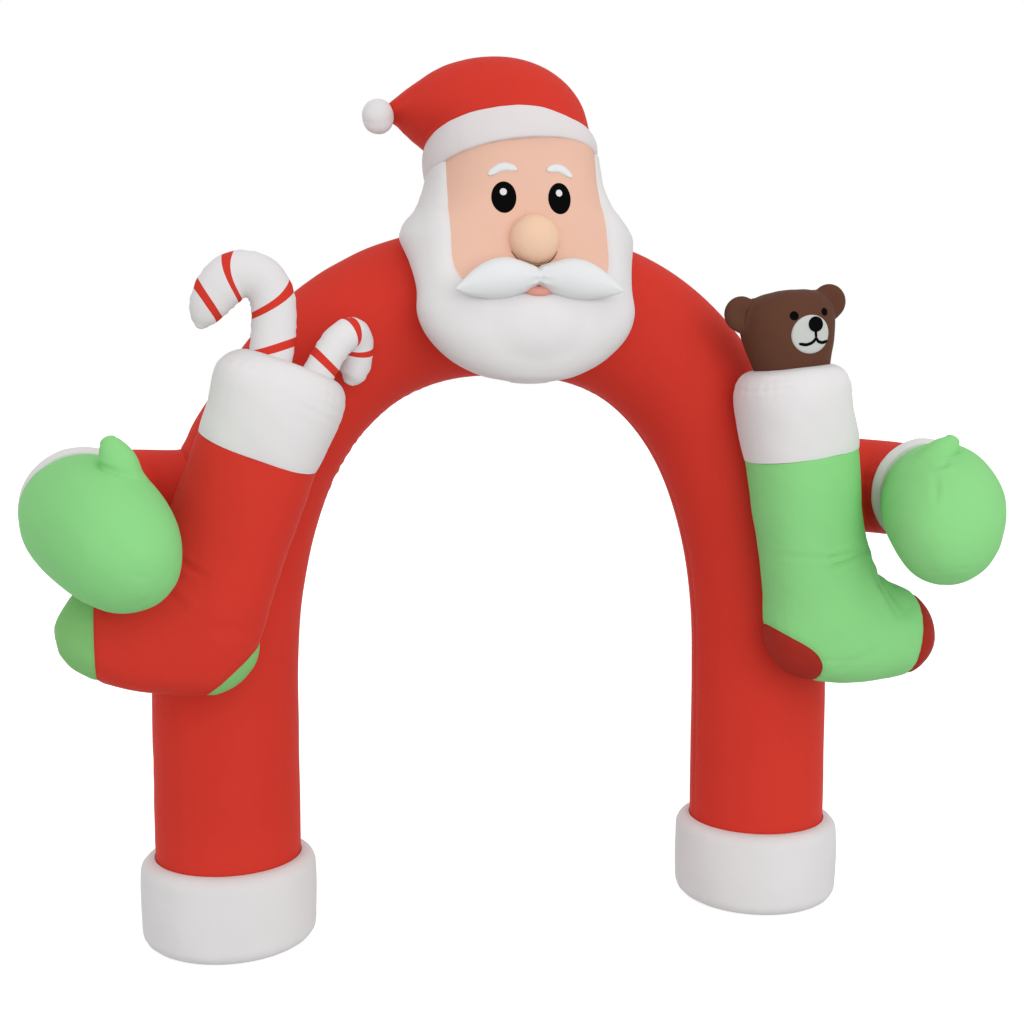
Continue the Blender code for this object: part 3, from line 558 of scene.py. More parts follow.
head = {
    # z, half width, front, back
    "rows": (
        (1.828, 0.060, -0.430, -0.320), (1.846, 0.150, -0.465, -0.285), (1.893, 0.240, -0.498, -0.245),
        (1.960, 0.308, -0.518, -0.215), (2.030, 0.338, -0.515, -0.190), (2.110, 0.336, -0.490, -0.165),
        (2.190, 0.350, -0.462, -0.085), (2.265, 0.370, -0.443, 0.020), (2.300, 0.362, -0.437, 0.065),
        (2.330, 0.344, -0.432, 0.105), (2.370, 0.308, -0.428, 0.125), (2.430, 0.284, -0.423, 0.143),
        (2.480, 0.276, -0.418, 0.150), (2.560, 0.268, -0.412, 0.150), (2.660, 0.266, -0.400, 0.140),
    ),
    "power": 2.3, "rings": 120, "columns": 260, "underside": 0.006,
    "chin": ((0.0, -0.365, 1.995), (0.232, 0.175, 0.150)), "chinBlend": 0.010,  # centre, half sizes
    "faceHalfWidth": 0.242, "faceBottom": 2.104, "faceTop": 2.60, "faceCorner": 0.105,
    "faceTuck": (0.006, 0.010), "facePuff": 0.004, "faceDepth": 0.030, "faceGrid": (120, 110),
    "recess": 0.010, "bed": 0.012, "rim": 0.030, "rimDepth": 0.024,
    "plump": (0.006, 0.045, 0.035),  # the hair swells beside the face: how much, how far off, reach
    "parting": (0.0022, 0.005), "partingBottom": (1.955, 1.975), "partingTop": (2.055, 2.075),
    "swells": (0.0020, 0.27),
}
headTable = throughRows(head["rows"], 600)
brim = {"centre": (-0.007, -0.128, 2.538), "tilt": -15.0, "roll": -5.0, "halfHeight": 0.056}


def headAt(z):
    return [np.interp(z, headTable[:, 0], headTable[:, k]) for k in (1, 2, 3)]


def headFront(x, z, lift=0.0):  # y of the head's front skin, and forward of it by lift
    halfWidth, front, back = headAt(z)
    share = np.clip(np.abs(x) / (halfWidth + lift), 0, 1)
    halfDepth = (back - front) / 2 + lift
    return planeY + (front + back) / 2 - halfDepth * (1 - share ** head["power"]) ** (1 / head["power"])


def chinFront(x, z):
    (cx, cy, cz), (a, b, c) = head["chin"]
    inside = 1 - ((x - cx) / a) ** 2 - ((z - cz) / c) ** 2
    return np.where(inside > 0, planeY + cy - b * np.sqrt(np.maximum(inside, 0)), 1.0)


def faceEdge(x, z):  # metres outside the face panel's outline, less than 0 within it
    corner = head["faceCorner"]
    p = np.abs(x) - (head["faceHalfWidth"] - corner)
    q = (head["faceBottom"] + corner) - z
    outside = np.hypot(np.maximum(p, 0), np.maximum(q, 0))
    return outside + np.minimum(np.maximum(p, q), 0) - corner


class TiltedFrame:  # a piece's own frame, tilted back and rolled to one side
    def __init__(self, centre, tilt, roll):
        turn = Matrix.Rotation(math.radians(roll), 3, "Y") @ Matrix.Rotation(math.radians(tilt), 3, "X")
        self.centre, self.turn = np.array(Vector(centre) + Vector((0, planeY, 0))), np.array(turn)

    def placed(self, points):
        return points @ self.turn.T + self.centre

    def own(self, co):
        return (co - self.centre) @ self.turn


hatFrame = TiltedFrame(brim["centre"], brim["tilt"], brim["roll"])
hatAcross, hatThrough, hatUp = hatFrame.turn.T
brimPoint = hatFrame.placed(np.array((0, 0, -brim["halfHeight"])))


def softLeast(a, b, blend):  # the lesser of the two, with the corner between them rounded
    mix = np.clip(0.5 + (b - a) / (2 * blend), 0, 1)
    return b * (1 - mix) + a * mix - blend * mix * (1 - mix)


def makeBeard():
    z, halfWidth, front, back = throughRows(head["rows"], head["rings"]).T
    centre = np.stack((0 * z, planeY + (front + back) / 2, z), axis=1)
    sections = (centre, np.outer(halfWidth, (1, 0, 0)), np.outer((back - front) / 2, (0, 1, 0)))
    hair = loft("beard", sections, head["columns"], head["power"], (head["underside"], 0.0))
    co = pointsOf(hair)
    x, y, z = co.T.copy()
    halfWidth, front, back = headAt(z)
    fore = y < planeY + (front + back) / 2
    chin = chinFront(x, z)
    blended = softLeast(y, chin, head["chinBlend"])
    co[:, 1] = np.where(fore & (chin < 0.9), np.minimum(blended, y), y)
    place(hair, co)
    edge = faceEdge(x, z)
    rim = np.clip(1 - edge / head["rim"], 0, 1)
    size, middle, reach = head["plump"]
    offset = size * hump(edge - middle, reach) - head["rimDepth"] * (1 - np.sqrt(1 - rim**2))
    offset -= head["bed"] * smooth(-edge, 0.0, 0.02)
    parted = smooth(z, *head["partingBottom"]) * (1 - smooth(z, *head["partingTop"]))
    offset += groove(x, *head["parting"]) * parted
    swell(hair, offset * fore + uneven(co, *head["swells"]) * smooth(edge, 0.0, 0.05))
    place(hair, offTube(pointsOf(hair), 0.0012))
    cut(hair, brimPoint, hatUp)
    finished(hair, "white", "beard")


def faceSkin(x, z):  # y of the face panel's front, which is blown up a little
    share = x / (head["faceHalfWidth"] + head["faceTuck"][0])
    return headFront(x, z, -head["recess"]) - head["facePuff"] * (1 - share**4)


def makeFace():
    columns, rows = head["faceGrid"]
    under, below = head["faceTuck"]  # how far the panel reaches under the hair, beside it and below
    halfWidth = head["faceHalfWidth"] + under
    across = np.linspace(-halfWidth, halfWidth, columns)
    up = np.linspace(head["faceBottom"] - below, head["faceTop"], rows)
    x, z = (values.ravel() for values in np.meshgrid(across, up))
    front = np.stack((x, faceSkin(x, z), z), axis=1)
    panel = gridPiece("facePanel", front, columns, rows, head["faceDepth"])
    cut(panel, brimPoint, hatUp)
    finished(panel, "skin", "face_panel")


def flatPiece(name, front, rear, faces):  # a thin piece, whose weave runs straight across it
    x, z = front[:, 0], front[:, 2]
    share = 0.7  # of a turn, so that no face seems to run from the last column to the first
    around, along = np.tile(share * (x - x.min()) / np.ptp(x), 2), np.tile(z - z.min(), 2)
    return makePiece(name, np.vstack((front, rear)), faces, around, along, np.ptp(x) / share)


def gridPiece(name, front, columns, rows, depth):  # a skin over a grid of points, closed behind
    count = columns * rows
    index = np.arange(count).reshape(rows, columns)
    corners = (index[:-1, :-1], index[:-1, 1:], index[1:, 1:], index[1:, :-1])
    faces = np.stack(corners, axis=-1).reshape(-1, 4)
    rim = np.concatenate((index[0, :-1], index[:-1, -1], index[-1, :0:-1], index[:0:-1, 0]))
    after = np.roll(rim, -1)
    walls = np.stack((rim, after, after + count, rim + count), axis=1)
    allFaces = np.vstack((faces, faces[:, ::-1] + count, walls)).tolist()
    return flatPiece(name, front, front + np.array((0, depth, 0)), allFaces)


def ball(name, centre, halfSizes, segments=64, turn=None):
    bpy.ops.object.select_all(action="DESELECT")
    bpy.ops.mesh.primitive_uv_sphere_add(segments=segments, ring_count=segments // 2, radius=1.0)
    made = bpy.context.active_object
    made.name = made.data.name = name
    co = pointsOf(made) * np.array(halfSizes)
    if turn is not None:
        co = co @ turn.T
    made.data.uv_layers[0].name = "UVMap"
    place(made, co + np.array(centre) + onPlane)
    return made


def onHead(co, lift=0.0):  # keeps a piece's back on the face or beard, and out of it
    skin = np.minimum(headFront(co[:, 0], co[:, 2], -head["recess"]), chinFront(co[:, 0], co[:, 2]))
    co[:, 1] = np.minimum(co[:, 1], skin + lift)
    return co


nose = {"centre": (0.0, -0.452, 2.252), "radius": 0.075}
lip = {"centre": (0.0, -0.488, 2.094), "halfSizes": (0.042, 0.034, 0.019)}
whiskers = {
    # x, y, z, half height, half depth, from the middle to one tip
    "rows": (
        (0.000, -0.492, 2.139, 0.031, 0.040), (0.045, -0.496, 2.138, 0.046, 0.052),
        (0.095, -0.500, 2.136, 0.059, 0.060), (0.145, -0.504, 2.130, 0.057, 0.055),
        (0.190, -0.510, 2.120, 0.043, 0.040), (0.225, -0.518, 2.109, 0.024, 0.022),
        (0.250, -0.526, 2.101, 0.006, 0.006),
    ),
    "rings": 130, "columns": 72, "ends": 0.004, "fullest": 0.25,
    "groove": (0.006, 0.007), "folds": (0.0035, 0.042, 0.045, 0.6), "tipFolds": (0.0012, 0.05, 0.05, 2.0),
}


def makeNose():
    made = ball("nose", nose["centre"], (nose["radius"],) * 3, 72)
    place(made, onHead(pointsOf(made), 0.012))
    finished(made, "nose", "nose", sharp=70)


def makeMoustache():
    half = list(whiskers["rows"])
    rows = [(-r[0], *r[1:]) for r in half[:0:-1]] + half
    x, y, z, high, deep = throughRows(rows, whiskers["rings"]).T
    sections = (np.stack((x, y, z), axis=1) + onPlane, np.outer(high, (0, 0, 1)), np.outer(deep, (0, 1, 0)))
    bolster = loft("moustache", sections, whiskers["columns"], 2.0, (whiskers["ends"],) * 2)
    co, around = surface(bolster)[:2]
    out, run = np.abs(co[:, 0]), around * 0.3
    tip = whiskers["fullest"] - out
    offset = groove(out, *whiskers["groove"])
    offset += gathers(out, run, *whiskers["folds"]) * smooth(out, 0.001, 0.010)
    offset += gathers(tip, run, *whiskers["tipFolds"]) * smooth(tip, 0.004, 0.03)
    swell(bolster, offset)
    place(bolster, onHead(pointsOf(bolster), 0.004))
    finished(bolster, "coolWhite", "moustache", sharp=75)


def makeLip():
    made = ball("lowerLip", lip["centre"], lip["halfSizes"], 40)
    co = pointsOf(made)
    co[:, 2] += 0.35 * np.abs(co[:, 0]) ** 1.6  # its ends turn up
    place(made, onHead(co, 0.004))
    finished(made, "lip", "lower_lip", sharp=75)


makeBeard()
makeFace()
makeNose()
makeMoustache()
makeLip()
print("head made")


# ---- patches sewn flat on a front: each is an outline round a middle, and lies on the skin that carries it


def patch(name, outline, skin, kind, lift=0.0022, rings=10):
    middle = (outline.max(axis=0) + outline.min(axis=0)) / 2
    count = len(outline)
    scale = np.sin(np.linspace(0, math.pi / 2, rings + 1))[1:]
    flat = np.vstack([middle + s * (outline - middle) for s in scale] + [middle])
    height = np.append(np.repeat(lift * np.sqrt(np.maximum(0, 1 - scale**12)), count), lift)
    x, z = flat.T
    front, rear = (np.stack((x, skin(x, z) - forward, z), axis=1) for forward in (height, -0.003))
    faces = []
    for start in (0, len(flat)):
        for low in range(start, start + (rings - 1) * count, count):
            faces += ringFaces(low, low + count, count)
        faces += fan(start, start + len(flat) - 1, count)
    edge = (rings - 1) * count
    faces += ringFaces(edge, len(flat) + edge, count)
    finished(flatPiece(name, front, rear, faces), kind, sharp=60)


def oval(cx, cz, a, b, tilt=0.0, count=56):
    t = 2 * math.pi * np.arange(count) / count
    x, z = a * np.cos(t), b * np.sin(t)
    c, s = math.cos(tilt), math.sin(tilt)
    return np.stack((cx + x * c - z * s, cz + x * s + z * c), axis=1)


def strip(name, points, width, skin, kind, lift=0.0018, taper=0.0):  # a narrow band along a curve
    line = throughRows(points, 40)
    along = unit(np.gradient(line, axis=0))
    normal = np.stack((-along[:, 1], along[:, 0]), axis=1)
    run = np.linspace(-1, 1, len(line))
    half = width / 2 * (1 - taper * run**2) * np.sqrt(np.maximum(0.02, 1 - np.abs(run) ** 8))
    share = np.linspace(-1, 1, 7)
    x, z = (line + share[:, None, None] * normal * half[:, None]).reshape(-1, 2).T
    height = np.repeat(lift * np.sqrt(np.maximum(0, 1 - share**6)), len(line))
    front = np.stack((x, skin(x, z) - height, z), axis=1)
    finished(gridPiece(name, front, len(line), len(share), 0.004), kind, sharp=60)


face = {
    "eyeX": 0.086, "eyeZ": 2.378, "eyeHalf": (0.037, 0.047),
    "glint": (0.002, 0.016, 0.0105), "glintLift": 0.0022,  # leftward, up, radius
    "browIn": 0.040, "browOut": 0.044, "browZ": (2.462, 2.468, 2.446), "browThick": 0.026,
    "noseUnderline": (0.079, 205, 335, 0.0034),  # radius, from and to in degrees, width
}


def glintSkin(x, z):  # the glints lie on the eyes
    return faceSkin(x, z) - face["glintLift"]


def makeFeatures():
    left, up, size = face["glint"]
    for label, side in sides.items():
        name = label.title()
        x, z = side * face["eyeX"], face["eyeZ"]
        patch(f"eye{name}", oval(x, z, *face["eyeHalf"]), faceSkin, "black")
        patch(f"glint{name}", oval(x - left, z + up, size, size, 0, 32), glintSkin, "white", 0.0012, 6)
        inner, outer = side * (face["eyeX"] - face["browIn"]), side * (face["eyeX"] + face["browOut"])
        points = tuple(zip((inner, (inner + outer) / 2, outer), face["browZ"]))
        strip(f"brow{name}", points, face["browThick"], faceSkin, "coolWhite", 0.006, 0.35)
    # a thin brown line drawn along the lower edge of the nose
    radius, start, end, width = face["noseUnderline"]
    turns = np.radians(np.linspace(start, end, 7))
    x, z = nose["centre"][::2]
    arc = np.stack((x + radius * np.cos(turns), z + radius * np.sin(turns)), axis=1)
    strip("noseUnderline", arc, width, faceSkin, "brown", 0.0016)


makeFeatures()
print("face made")


# ---- the hat

hat = {
    "bandHalf": (0.280, 0.273, 0.297),  # across at the brim, across at the crown, and from front to back
    "bandFolds": (0.0003, 0.083, 0.035, 0.3), "bandSwells": (0.0014, 0.19),
    "rounding": 0.012, "bandPower": 2.1, "bandRings": 30, "columns": 220,
    "seam": (0.0461, -0.0372),  # the seam with the crown: its height in the middle, its slope to the right
    "bow": (0.028, 0.05), "bowFrom": (-0.02, 0.19),  # the seam's drop and its reach, and where it starts
    "topGroove": (0.0035, 0.009), "topFolds": (0.0022, 0.06, 0.05, 1.1), "topRadius": 0.24,
    "topAbove": (0.07, 0.12), "topNarrows": ((-0.38, 0.1), (0.1, 1)),  # z, and x with the radius's share
    "hemGroove": (0.002, 0.008), "hemFolds": (0.0004, 0.093, 0.05, 0.2), "crownSwells": (0.0018, 0.24),
    "tip": (-0.385, 0.17), "tipFolds": (0.0045, 0.085, 0.10, 2.6), "pompomSwells": (0.0012, 0.07),
    # right x, right z, left x, left z, half depth, in the tilted hat's own frame
    "rows": (
        (0.265, 0.036, -0.261, 0.056, 0.276), (0.257, 0.110, -0.265, 0.070, 0.270),
        (0.225, 0.178, -0.280, 0.082, 0.259), (0.174, 0.233, -0.294, 0.092, 0.243),
        (0.106, 0.274, -0.307, 0.101, 0.222), (0.028, 0.301, -0.318, 0.111, 0.196),
        (-0.058, 0.309, -0.329, 0.120, 0.166), (-0.141, 0.302, -0.337, 0.128, 0.134),
        (-0.217, 0.280, -0.345, 0.135, 0.101), (-0.293, 0.240, -0.354, 0.141, 0.068),
        (-0.345, 0.208, -0.364, 0.147, 0.044), (-0.373, 0.188, -0.373, 0.160, 0.022),
    ),
    "rings": 110, "crownColumns": 150,
    "pompom": (-0.425, -0.13, 2.648), "pompomHalf": (0.049, 0.050, 0.053),
}


def overSeam(local):  # metres above the seam between band and crown, in the hat's own frame
    middle, slope = hat["seam"]
    return local[:, 2] - middle - slope * local[:, 0]


def bowSeam(made, local):  # the seam drops in a bow towards the hat's right
    depth, reach = hat["bow"]
    drop = depth * smooth(local[:, 0], *hat["bowFrom"]) * hump(overSeam(local), reach)
    place(made, pointsOf(made) - np.outer(drop, hatUp))


def makeBand():
    low, high, deep = hat["bandHalf"]
    middle, slope = hat["seam"]
    step = np.sin(np.linspace(-math.pi / 2, math.pi / 2, hat["bandRings"]))
    share = (step + 1) / 2
    inset = hat["rounding"] * (1 - np.sqrt(1 - step**2))
    bottom = gap - brim["halfHeight"]
    wide = low + (high - low) * share - inset
    centre = hatFrame.placed(np.outer(bottom + (middle - gap - bottom) * share, (0, 0, 1)))
    across = np.outer(wide, hatAcross) + np.outer(wide * share * slope, hatUp)
    through = np.outer(deep - inset, hatThrough)
    made = loft("hatBand", (centre, across, through), hat["columns"], hat["bandPower"])
    co, around = surface(made)[:2]
    local = hatFrame.own(co)
    edge = np.minimum(-overSeam(local), local[:, 2] + brim["halfHeight"])
    rim = smooth(np.hypot(local[:, 0], local[:, 1]), 0.2, 0.25)
    swell(made, (gathers(edge, around * 1.85, *hat["bandFolds"]) + uneven(co, *hat["bandSwells"])) * rim)
    bowSeam(made, local)
    finished(made, "bandWhite", "hat_band")


def makeCrown():
    rightX, rightZ, leftX, leftZ, depth = throughRows(hat["rows"], hat["rings"]).T
    ends = ((rightX, rightZ), (leftX, leftZ))
    right, left = (hatFrame.placed(np.stack((x, 0 * x, z), axis=1)) for x, z in ends)
    sections = ((right + left) / 2, (right - left) / 2, np.outer(depth, hatThrough))
    made = loft("hatCrown", sections, hat["crownColumns"], 2.0, (0.0, 0.004))
    co, around, along = surface(made)
    local = hatFrame.own(co)
    x, z, over = local[:, 0], local[:, 2], overSeam(local)
    top = np.minimum(around, 1 - around) * 2 * math.pi * hat["topRadius"] * np.interp(x, *hat["topNarrows"])
    offset = groove(top, *hat["topGroove"]) + gathers(top, along, *hat["topFolds"])
    offset *= smooth(z, *hat["topAbove"])
    hem = gathers(over, around * 1.7, *hat["hemFolds"]) + groove(over, *hat["hemGroove"])
    offset += hem * (over > 0.001)
    tip = np.hypot(x - hat["tip"][0], z - hat["tip"][1])
    offset += gathers(tip, around * 0.5, *hat["tipFolds"]) * smooth(tip, 0.01, 0.05)
    offset += uneven(co, *hat["crownSwells"]) * smooth(over, 0.001, 0.03)
    swell(made, offset)
    bowSeam(made, local)
    markSeam(made, top + 10 * (z < hat["topAbove"][0]), along)  # no stitches and no painted seam shade below the top seam
    finished(made, "red", "hat_crown")


def makePompom():
    made = ball("pompom", hat["pompom"], hat["pompomHalf"], 72)
    co = pointsOf(made)
    away = co - hat["pompom"] - onPlane
    axis = unit(np.array((0.93, 0.0, 0.2)))  # towards the hat's tip
    along = away @ axis
    square = away - np.outer(along, axis)
    up = unit(np.cross(axis, (0, 1, 0)))
    turn = np.arctan2(square @ up, square[:, 1])
    pinch = np.abs(np.sin(2 * turn + 0.4)) ** 6
    offset = 0.0022 * (0.3 - pinch) * smooth(np.linalg.norm(square, axis=1), 0.004, 0.03)
    offset += uneven(co, *hat["pompomSwells"])
    place(made, co + unit(away) * offset[:, None])
    finished(made, "white", "pompom")


makeBand()
makeCrown()
makePompom()
print("hat made")


# ---- the arms

arm = {
    # x outward, y, z, radius
    "limb": {
        "left": (
            (0.930, 0.000, 1.445, 0.167), (1.060, -0.008, 1.444, 0.166), (1.195, -0.045, 1.450, 0.164),
            (1.292, -0.140, 1.453, 0.160), (1.325, -0.270, 1.453, 0.156),
        ),
        "right": (
            (0.930, 0.000, 1.462, 0.167), (1.060, -0.008, 1.462, 0.166), (1.203, -0.045, 1.461, 0.164),
            (1.320, -0.140, 1.457, 0.160), (1.374, -0.270, 1.453, 0.156),
        ),
    },
    "band": ((-0.270, 0.168), (-0.298, 0.188), (-0.325, 0.172)),  # y, radius
    "wrist": {"left": (1.325, 1.453), "right": (1.377, 1.452)},  # x outward, z
    "bandGrowth": {"left": 0.0, "right": -0.005},
    "mitten": (
        (1.346, -0.325, 1.463, 0.146), (1.335, -0.390, 1.462, 0.162), (1.306, -0.475, 1.456, 0.180),
        (1.269, -0.570, 1.441, 0.188), (1.231, -0.655, 1.416, 0.182), (1.196, -0.732, 1.382, 0.165),
        (1.166, -0.795, 1.347, 0.137), (1.146, -0.840, 1.321, 0.0961), (1.1325, -0.8695, 1.3026, 0.0010),
    ),
    "thumb": {
        "left": (
            (1.169, -0.640, 1.490, 0.048), (1.183, -0.650, 1.530, 0.056), (1.196, -0.655, 1.569, 0.055),
            (1.206, -0.655, 1.607, 0.053), (1.217, -0.650, 1.634, 0.047), (1.227, -0.645, 1.658, 0.035),
            (1.234, -0.640, 1.673, 0.0234),
        ),
        "right": (
            (1.210, -0.570, 1.468, 0.050), (1.221, -0.585, 1.507, 0.056), (1.233, -0.600, 1.547, 0.056),
            (1.250, -0.610, 1.583, 0.053), (1.268, -0.620, 1.609, 0.047), (1.285, -0.625, 1.630, 0.037),
            (1.296, -0.625, 1.646, 0.024),
        ),
    },
    # x outward and z: of the whole, and more towards the finger tips
    "mittenShift": {"left": ((0.006, -0.006), (0.0, 0.0)), "right": ((0.036, 0.000), (-0.012, -0.015))},
    "length": 0.54, "columns": 128, "limbRings": 70, "mittenRings": 98, "thumbRings": 40,
    "thumbFillet": 0.03, "thumbInner": {"left": 1.245, "right": 1.275},  # inward of this x they join
    "folds": (0.0014, 0.058, 0.05), "groove": (0.003, 0.010), "swells": (0.0018, 0.21), "bandRings": 26,
    "elbow": (1.20, -0.12, 0.16), "elbowFolds": (0.004, 0.034),  # x outward, y and reach; size and pitch
    "wristFolds": (0.0014, 0.055, 0.05, 0.2), "thumbColumns": 72,
}


def armPath(rows, side, count, shift=((0.0, 0.0), (0.0, 0.0)), crowd=1.0):
    squared = np.array(rows) ** (1, 1, 1, 2)  # between squared radii a blown-up end runs out round
    x, y, z, area = throughRows(squared, count, crowd).T
    share = (arm["mitten"][0][1] - y) / arm["length"]
    (wholeX, wholeZ), (tipX, tipZ) = shift
    path = np.stack((side * (x + wholeX + tipX * share), y + planeY, z + wholeZ + tipZ * share), axis=1)
    return path, np.sqrt(area)


makeArch()
print("arch made")


def makeArm(label, side):
    wrist = (0, -1, 0)
    wristX, wristZ = arm["wrist"][label]
    path, radii = armPath(arm["limb"][label], side, arm["limbRings"])
    limb = loft(f"arm{label.title()}", tubeSections(path, radii, (0, 0, 1), None, wrist), arm["columns"])
    co, around, along = surface(limb)
    x, y, z = side * co[:, 0], co[:, 1] - planeY, co[:, 2]
    elbowX, elbowY, reach = arm["elbow"]
    size, pitch = arm["elbowFolds"]
    bend = hump(np.hypot(x - elbowX, y - elbowY), reach) * smooth(1.14 - x - y, -0.02, 0.16)
    offset = size * np.sin(along / pitch + 1.5 * np.sin(z * 9)) * bend
    seam, run = y - arm["band"][0][0], around * 2 * math.pi * 0.16
    offset += gathers(seam, run, *arm["folds"], 0.7 + side) + groove(seam, *arm["groove"])
    offset += uneven(co, *arm["swells"]) + fillet(skinGap(co, tubePath, tubeRadii), arch["armFillet"])
    inEnd = (np.abs(seam) < 2 * gap) & (np.hypot(x - wristX, z - wristZ) < 0.14)
    swell(limb, offset * ~inEnd)
    place(limb, offTube(pointsOf(limb)))
    markSeam(limb, seam, run)
    finished(limb, "red", f"arm_{label}")


def makeWristBand(label, side):
    wrist = (0, -1, 0)
    wristX, wristZ = arm["wrist"][label]
    rows = [(wristX, y, wristZ, radius + arm["bandGrowth"][label]) for y, radius in arm["band"]]
    path, radii = armPath(rows, side, arm["bandRings"])
    path[:, 1] -= np.linspace(gap, 0, arm["bandRings"])
    sections = tubeSections(path, radii, (0, 0, 1), wrist, wrist)
    cuff = loft(f"wristBand{label.title()}", sections, arm["columns"])
    co = pointsOf(cuff)
    wide = smooth(np.hypot(co[:, 0] - side * wristX, co[:, 2] - wristZ), 0.13, 0.15)
    swell(cuff, uneven(co, 0.0014, 0.13) * wide)
    finished(cuff, "white", f"wrist_band_{label}")


mittenSeam = {
    "groove": (0.0030, 0.007), "folds": (0.0022, 0.05, 0.05), "swells": (0.0020, 0.19),
    "turn": {"left": 0.08, "right": 0.25}, "strength": {"left": 0.12, "right": 0.25},  # faint in front
    "creases": {
        "left": (
            ((-1.262, 1.612), (-1.176, 1.584), 0.008, 0.0050),
            ((-1.160, 1.254), (-1.118, 1.289), 0.007, 0.0020),
            ((-1.163, 1.338), (-1.112, 1.329), 0.009, 0.0012),
        ),
        "right": (
            ((1.206, 1.573), (1.238, 1.584), 0.007, 0.0085),
            ((1.177, 1.546), (1.137, 1.476), 0.007, 0.0032),
            ((1.125, 1.267), (1.210, 1.282), 0.007, 0.0016),
        ),
    },
}


def frontCreases(piece, lines):  # creases that only the front of a mitten has
    co = pointsOf(piece)
    return creases(co[:, 0], co[:, 2], lines) * smooth(-normalsOf(piece)[:, 1], 0.1, 0.4)


def handFillet(co, path, radii, label, side):  # towards the hand or thumb on this path, on the inner side
    inner = smooth(arm["thumbInner"][label] - side * co[:, 0], -0.02, 0.03)
    return fillet(skinGap(co, path, radii), arm["thumbFillet"]) * inner


def makeMitten(label, side):
    path, radii = armPath(arm["mitten"], side, arm["mittenRings"], arm["mittenShift"][label], 1.8)
    path[:, 1] -= gap
    thumbPath, thumbRadii = armPath(arm["thumb"][label], side, arm["thumbRings"])
    lines = mittenSeam["creases"][label]
    sections = tubeSections(path, radii, (0, 0, 1), (0, -1, 0))
    hand = loft(f"mitten{label.title()}", sections, arm["columns"], 2.0, (0.0, 0.0004))
    co, around, along = surface(hand)
    wrap = 2 * math.pi * 0.18
    tip = along.max() - along
    shrink = np.clip(tip / 0.26, 0.03, 1)
    seams = np.zeros(len(co))
    for opposite in (0.0, 0.5):
        seam = fromSeam(around, mittenSeam["turn"][label] + opposite) * wrap * shrink
        seams += groove(seam, *mittenSeam["groove"])
        seams += gathers(seam, along, *mittenSeam["folds"], 1.3 + side)
    wrist = co[:, 1] - (planeY + arm["mitten"][0][1])
    hem = gathers(wrist, around * wrap, *arm["wristFolds"]) + groove(wrist, *arm["groove"])
    offset = mittenSeam["strength"][label] * seams + hem * (tip < 0.52) + uneven(co, *mittenSeam["swells"])
    offset += handFillet(co, thumbPath, thumbRadii, label, side) + frontCreases(hand, lines)
    swell(hand, offset * smooth(tip, 0.0, 0.08))
    finished(hand, "mint", f"mitten_{label}")

    sections = tubeSections(thumbPath, thumbRadii, (0, 1, 0))
    thumb = loft(f"thumb{label.title()}", sections, arm["thumbColumns"], 2.0, (0.0, 0.014))
    co, along = pointsOf(thumb), valueOf(thumb, "along")
    offset = uneven(co, 0.0012, 0.11) + handFillet(co, path, radii, label, side)
    offset += frontCreases(thumb, lines[:1])
    swell(thumb, offset * smooth(along.max() - along, 0.0, 0.02))
    # the thumb is sewn on, so its root follows the hand
    place(thumb, pushedOut(pointsOf(thumb), path, radii - 0.004, radii))
    finished(thumb, "mint", f"thumb_{label}")


for label, side in sides.items():
    makeArm(label, side)
    makeWristBand(label, side)
    makeMitten(label, side)
print("arms made")


# ---- the stockings

sock = {
    # heel u, heel w, toe u, toe w, half depth: u towards the toe and w up, from the seam under the cuff
    "rows": (
        (-0.183, 0.000, 0.181, 0.000, 0.165), (-0.183, -0.140, 0.183, -0.140, 0.162),
        (-0.183, -0.280, 0.187, -0.268, 0.158), (-0.187, -0.415, 0.199, -0.366, 0.156),
        (-0.195, -0.520, 0.238, -0.436, 0.157), (-0.200, -0.622, 0.282, -0.476, 0.158),
        (-0.130, -0.720, 0.320, -0.502, 0.156), (0.030, -0.768, 0.346, -0.527, 0.150),
        (0.180, -0.779, 0.366, -0.555, 0.136), (0.290, -0.777, 0.380, -0.590, 0.110),
        (0.350, -0.752, 0.389, -0.632, 0.074), (0.370, -0.731, 0.392, -0.652, 0.052),
        (0.384, -0.712, 0.392, -0.670, 0.024),
    ),
    # w, half width on the toe's side, half width on the heel's side, half depth
    "cuff": (
        (0.000, 0.181, 0.184, 0.160), (0.045, 0.183, 0.190, 0.168), (0.110, 0.181, 0.197, 0.176),
        (0.170, 0.178, 0.202, 0.178), (0.220, 0.168, 0.195, 0.170), (0.255, 0.148, 0.176, 0.150),
        (0.272, 0.118, 0.145, 0.122), (0.277, 0.070, 0.092, 0.076),
    ),
    "power": 2.15, "cuffPower": 2.3, "rings": 160, "columns": 150, "cuffRings": 56,
    "calfLength": 0.45, "heelTurn": -0.206, "soleMiddle": 0.180, "cuffSide": 0.199, "toeEnd": 0.392,
    "seamReach": (0.28, 0.17), "narrow": (-0.205, 0.09), "capSeam": 0.222, "heelSkew": 1.35,
    "girth": 1.1, "cuffGirth": 1.24, "groove": (0.0040, 0.009), "folds": (0.0009, 0.052, 0.040),
    "hem": (0.0008, 0.008), "capGroove": (0.0014, 0.006), "capFolds": (0.0008, 0.05, 0.03, 1.4),
    "ankle": (0.22, -0.41, 0.075), "ankleFolds": (0.0030, 0.0105),  # u, w and reach; size and pitch
    "sole": (0.17, 0.14),  # where it drops: u and reach
}
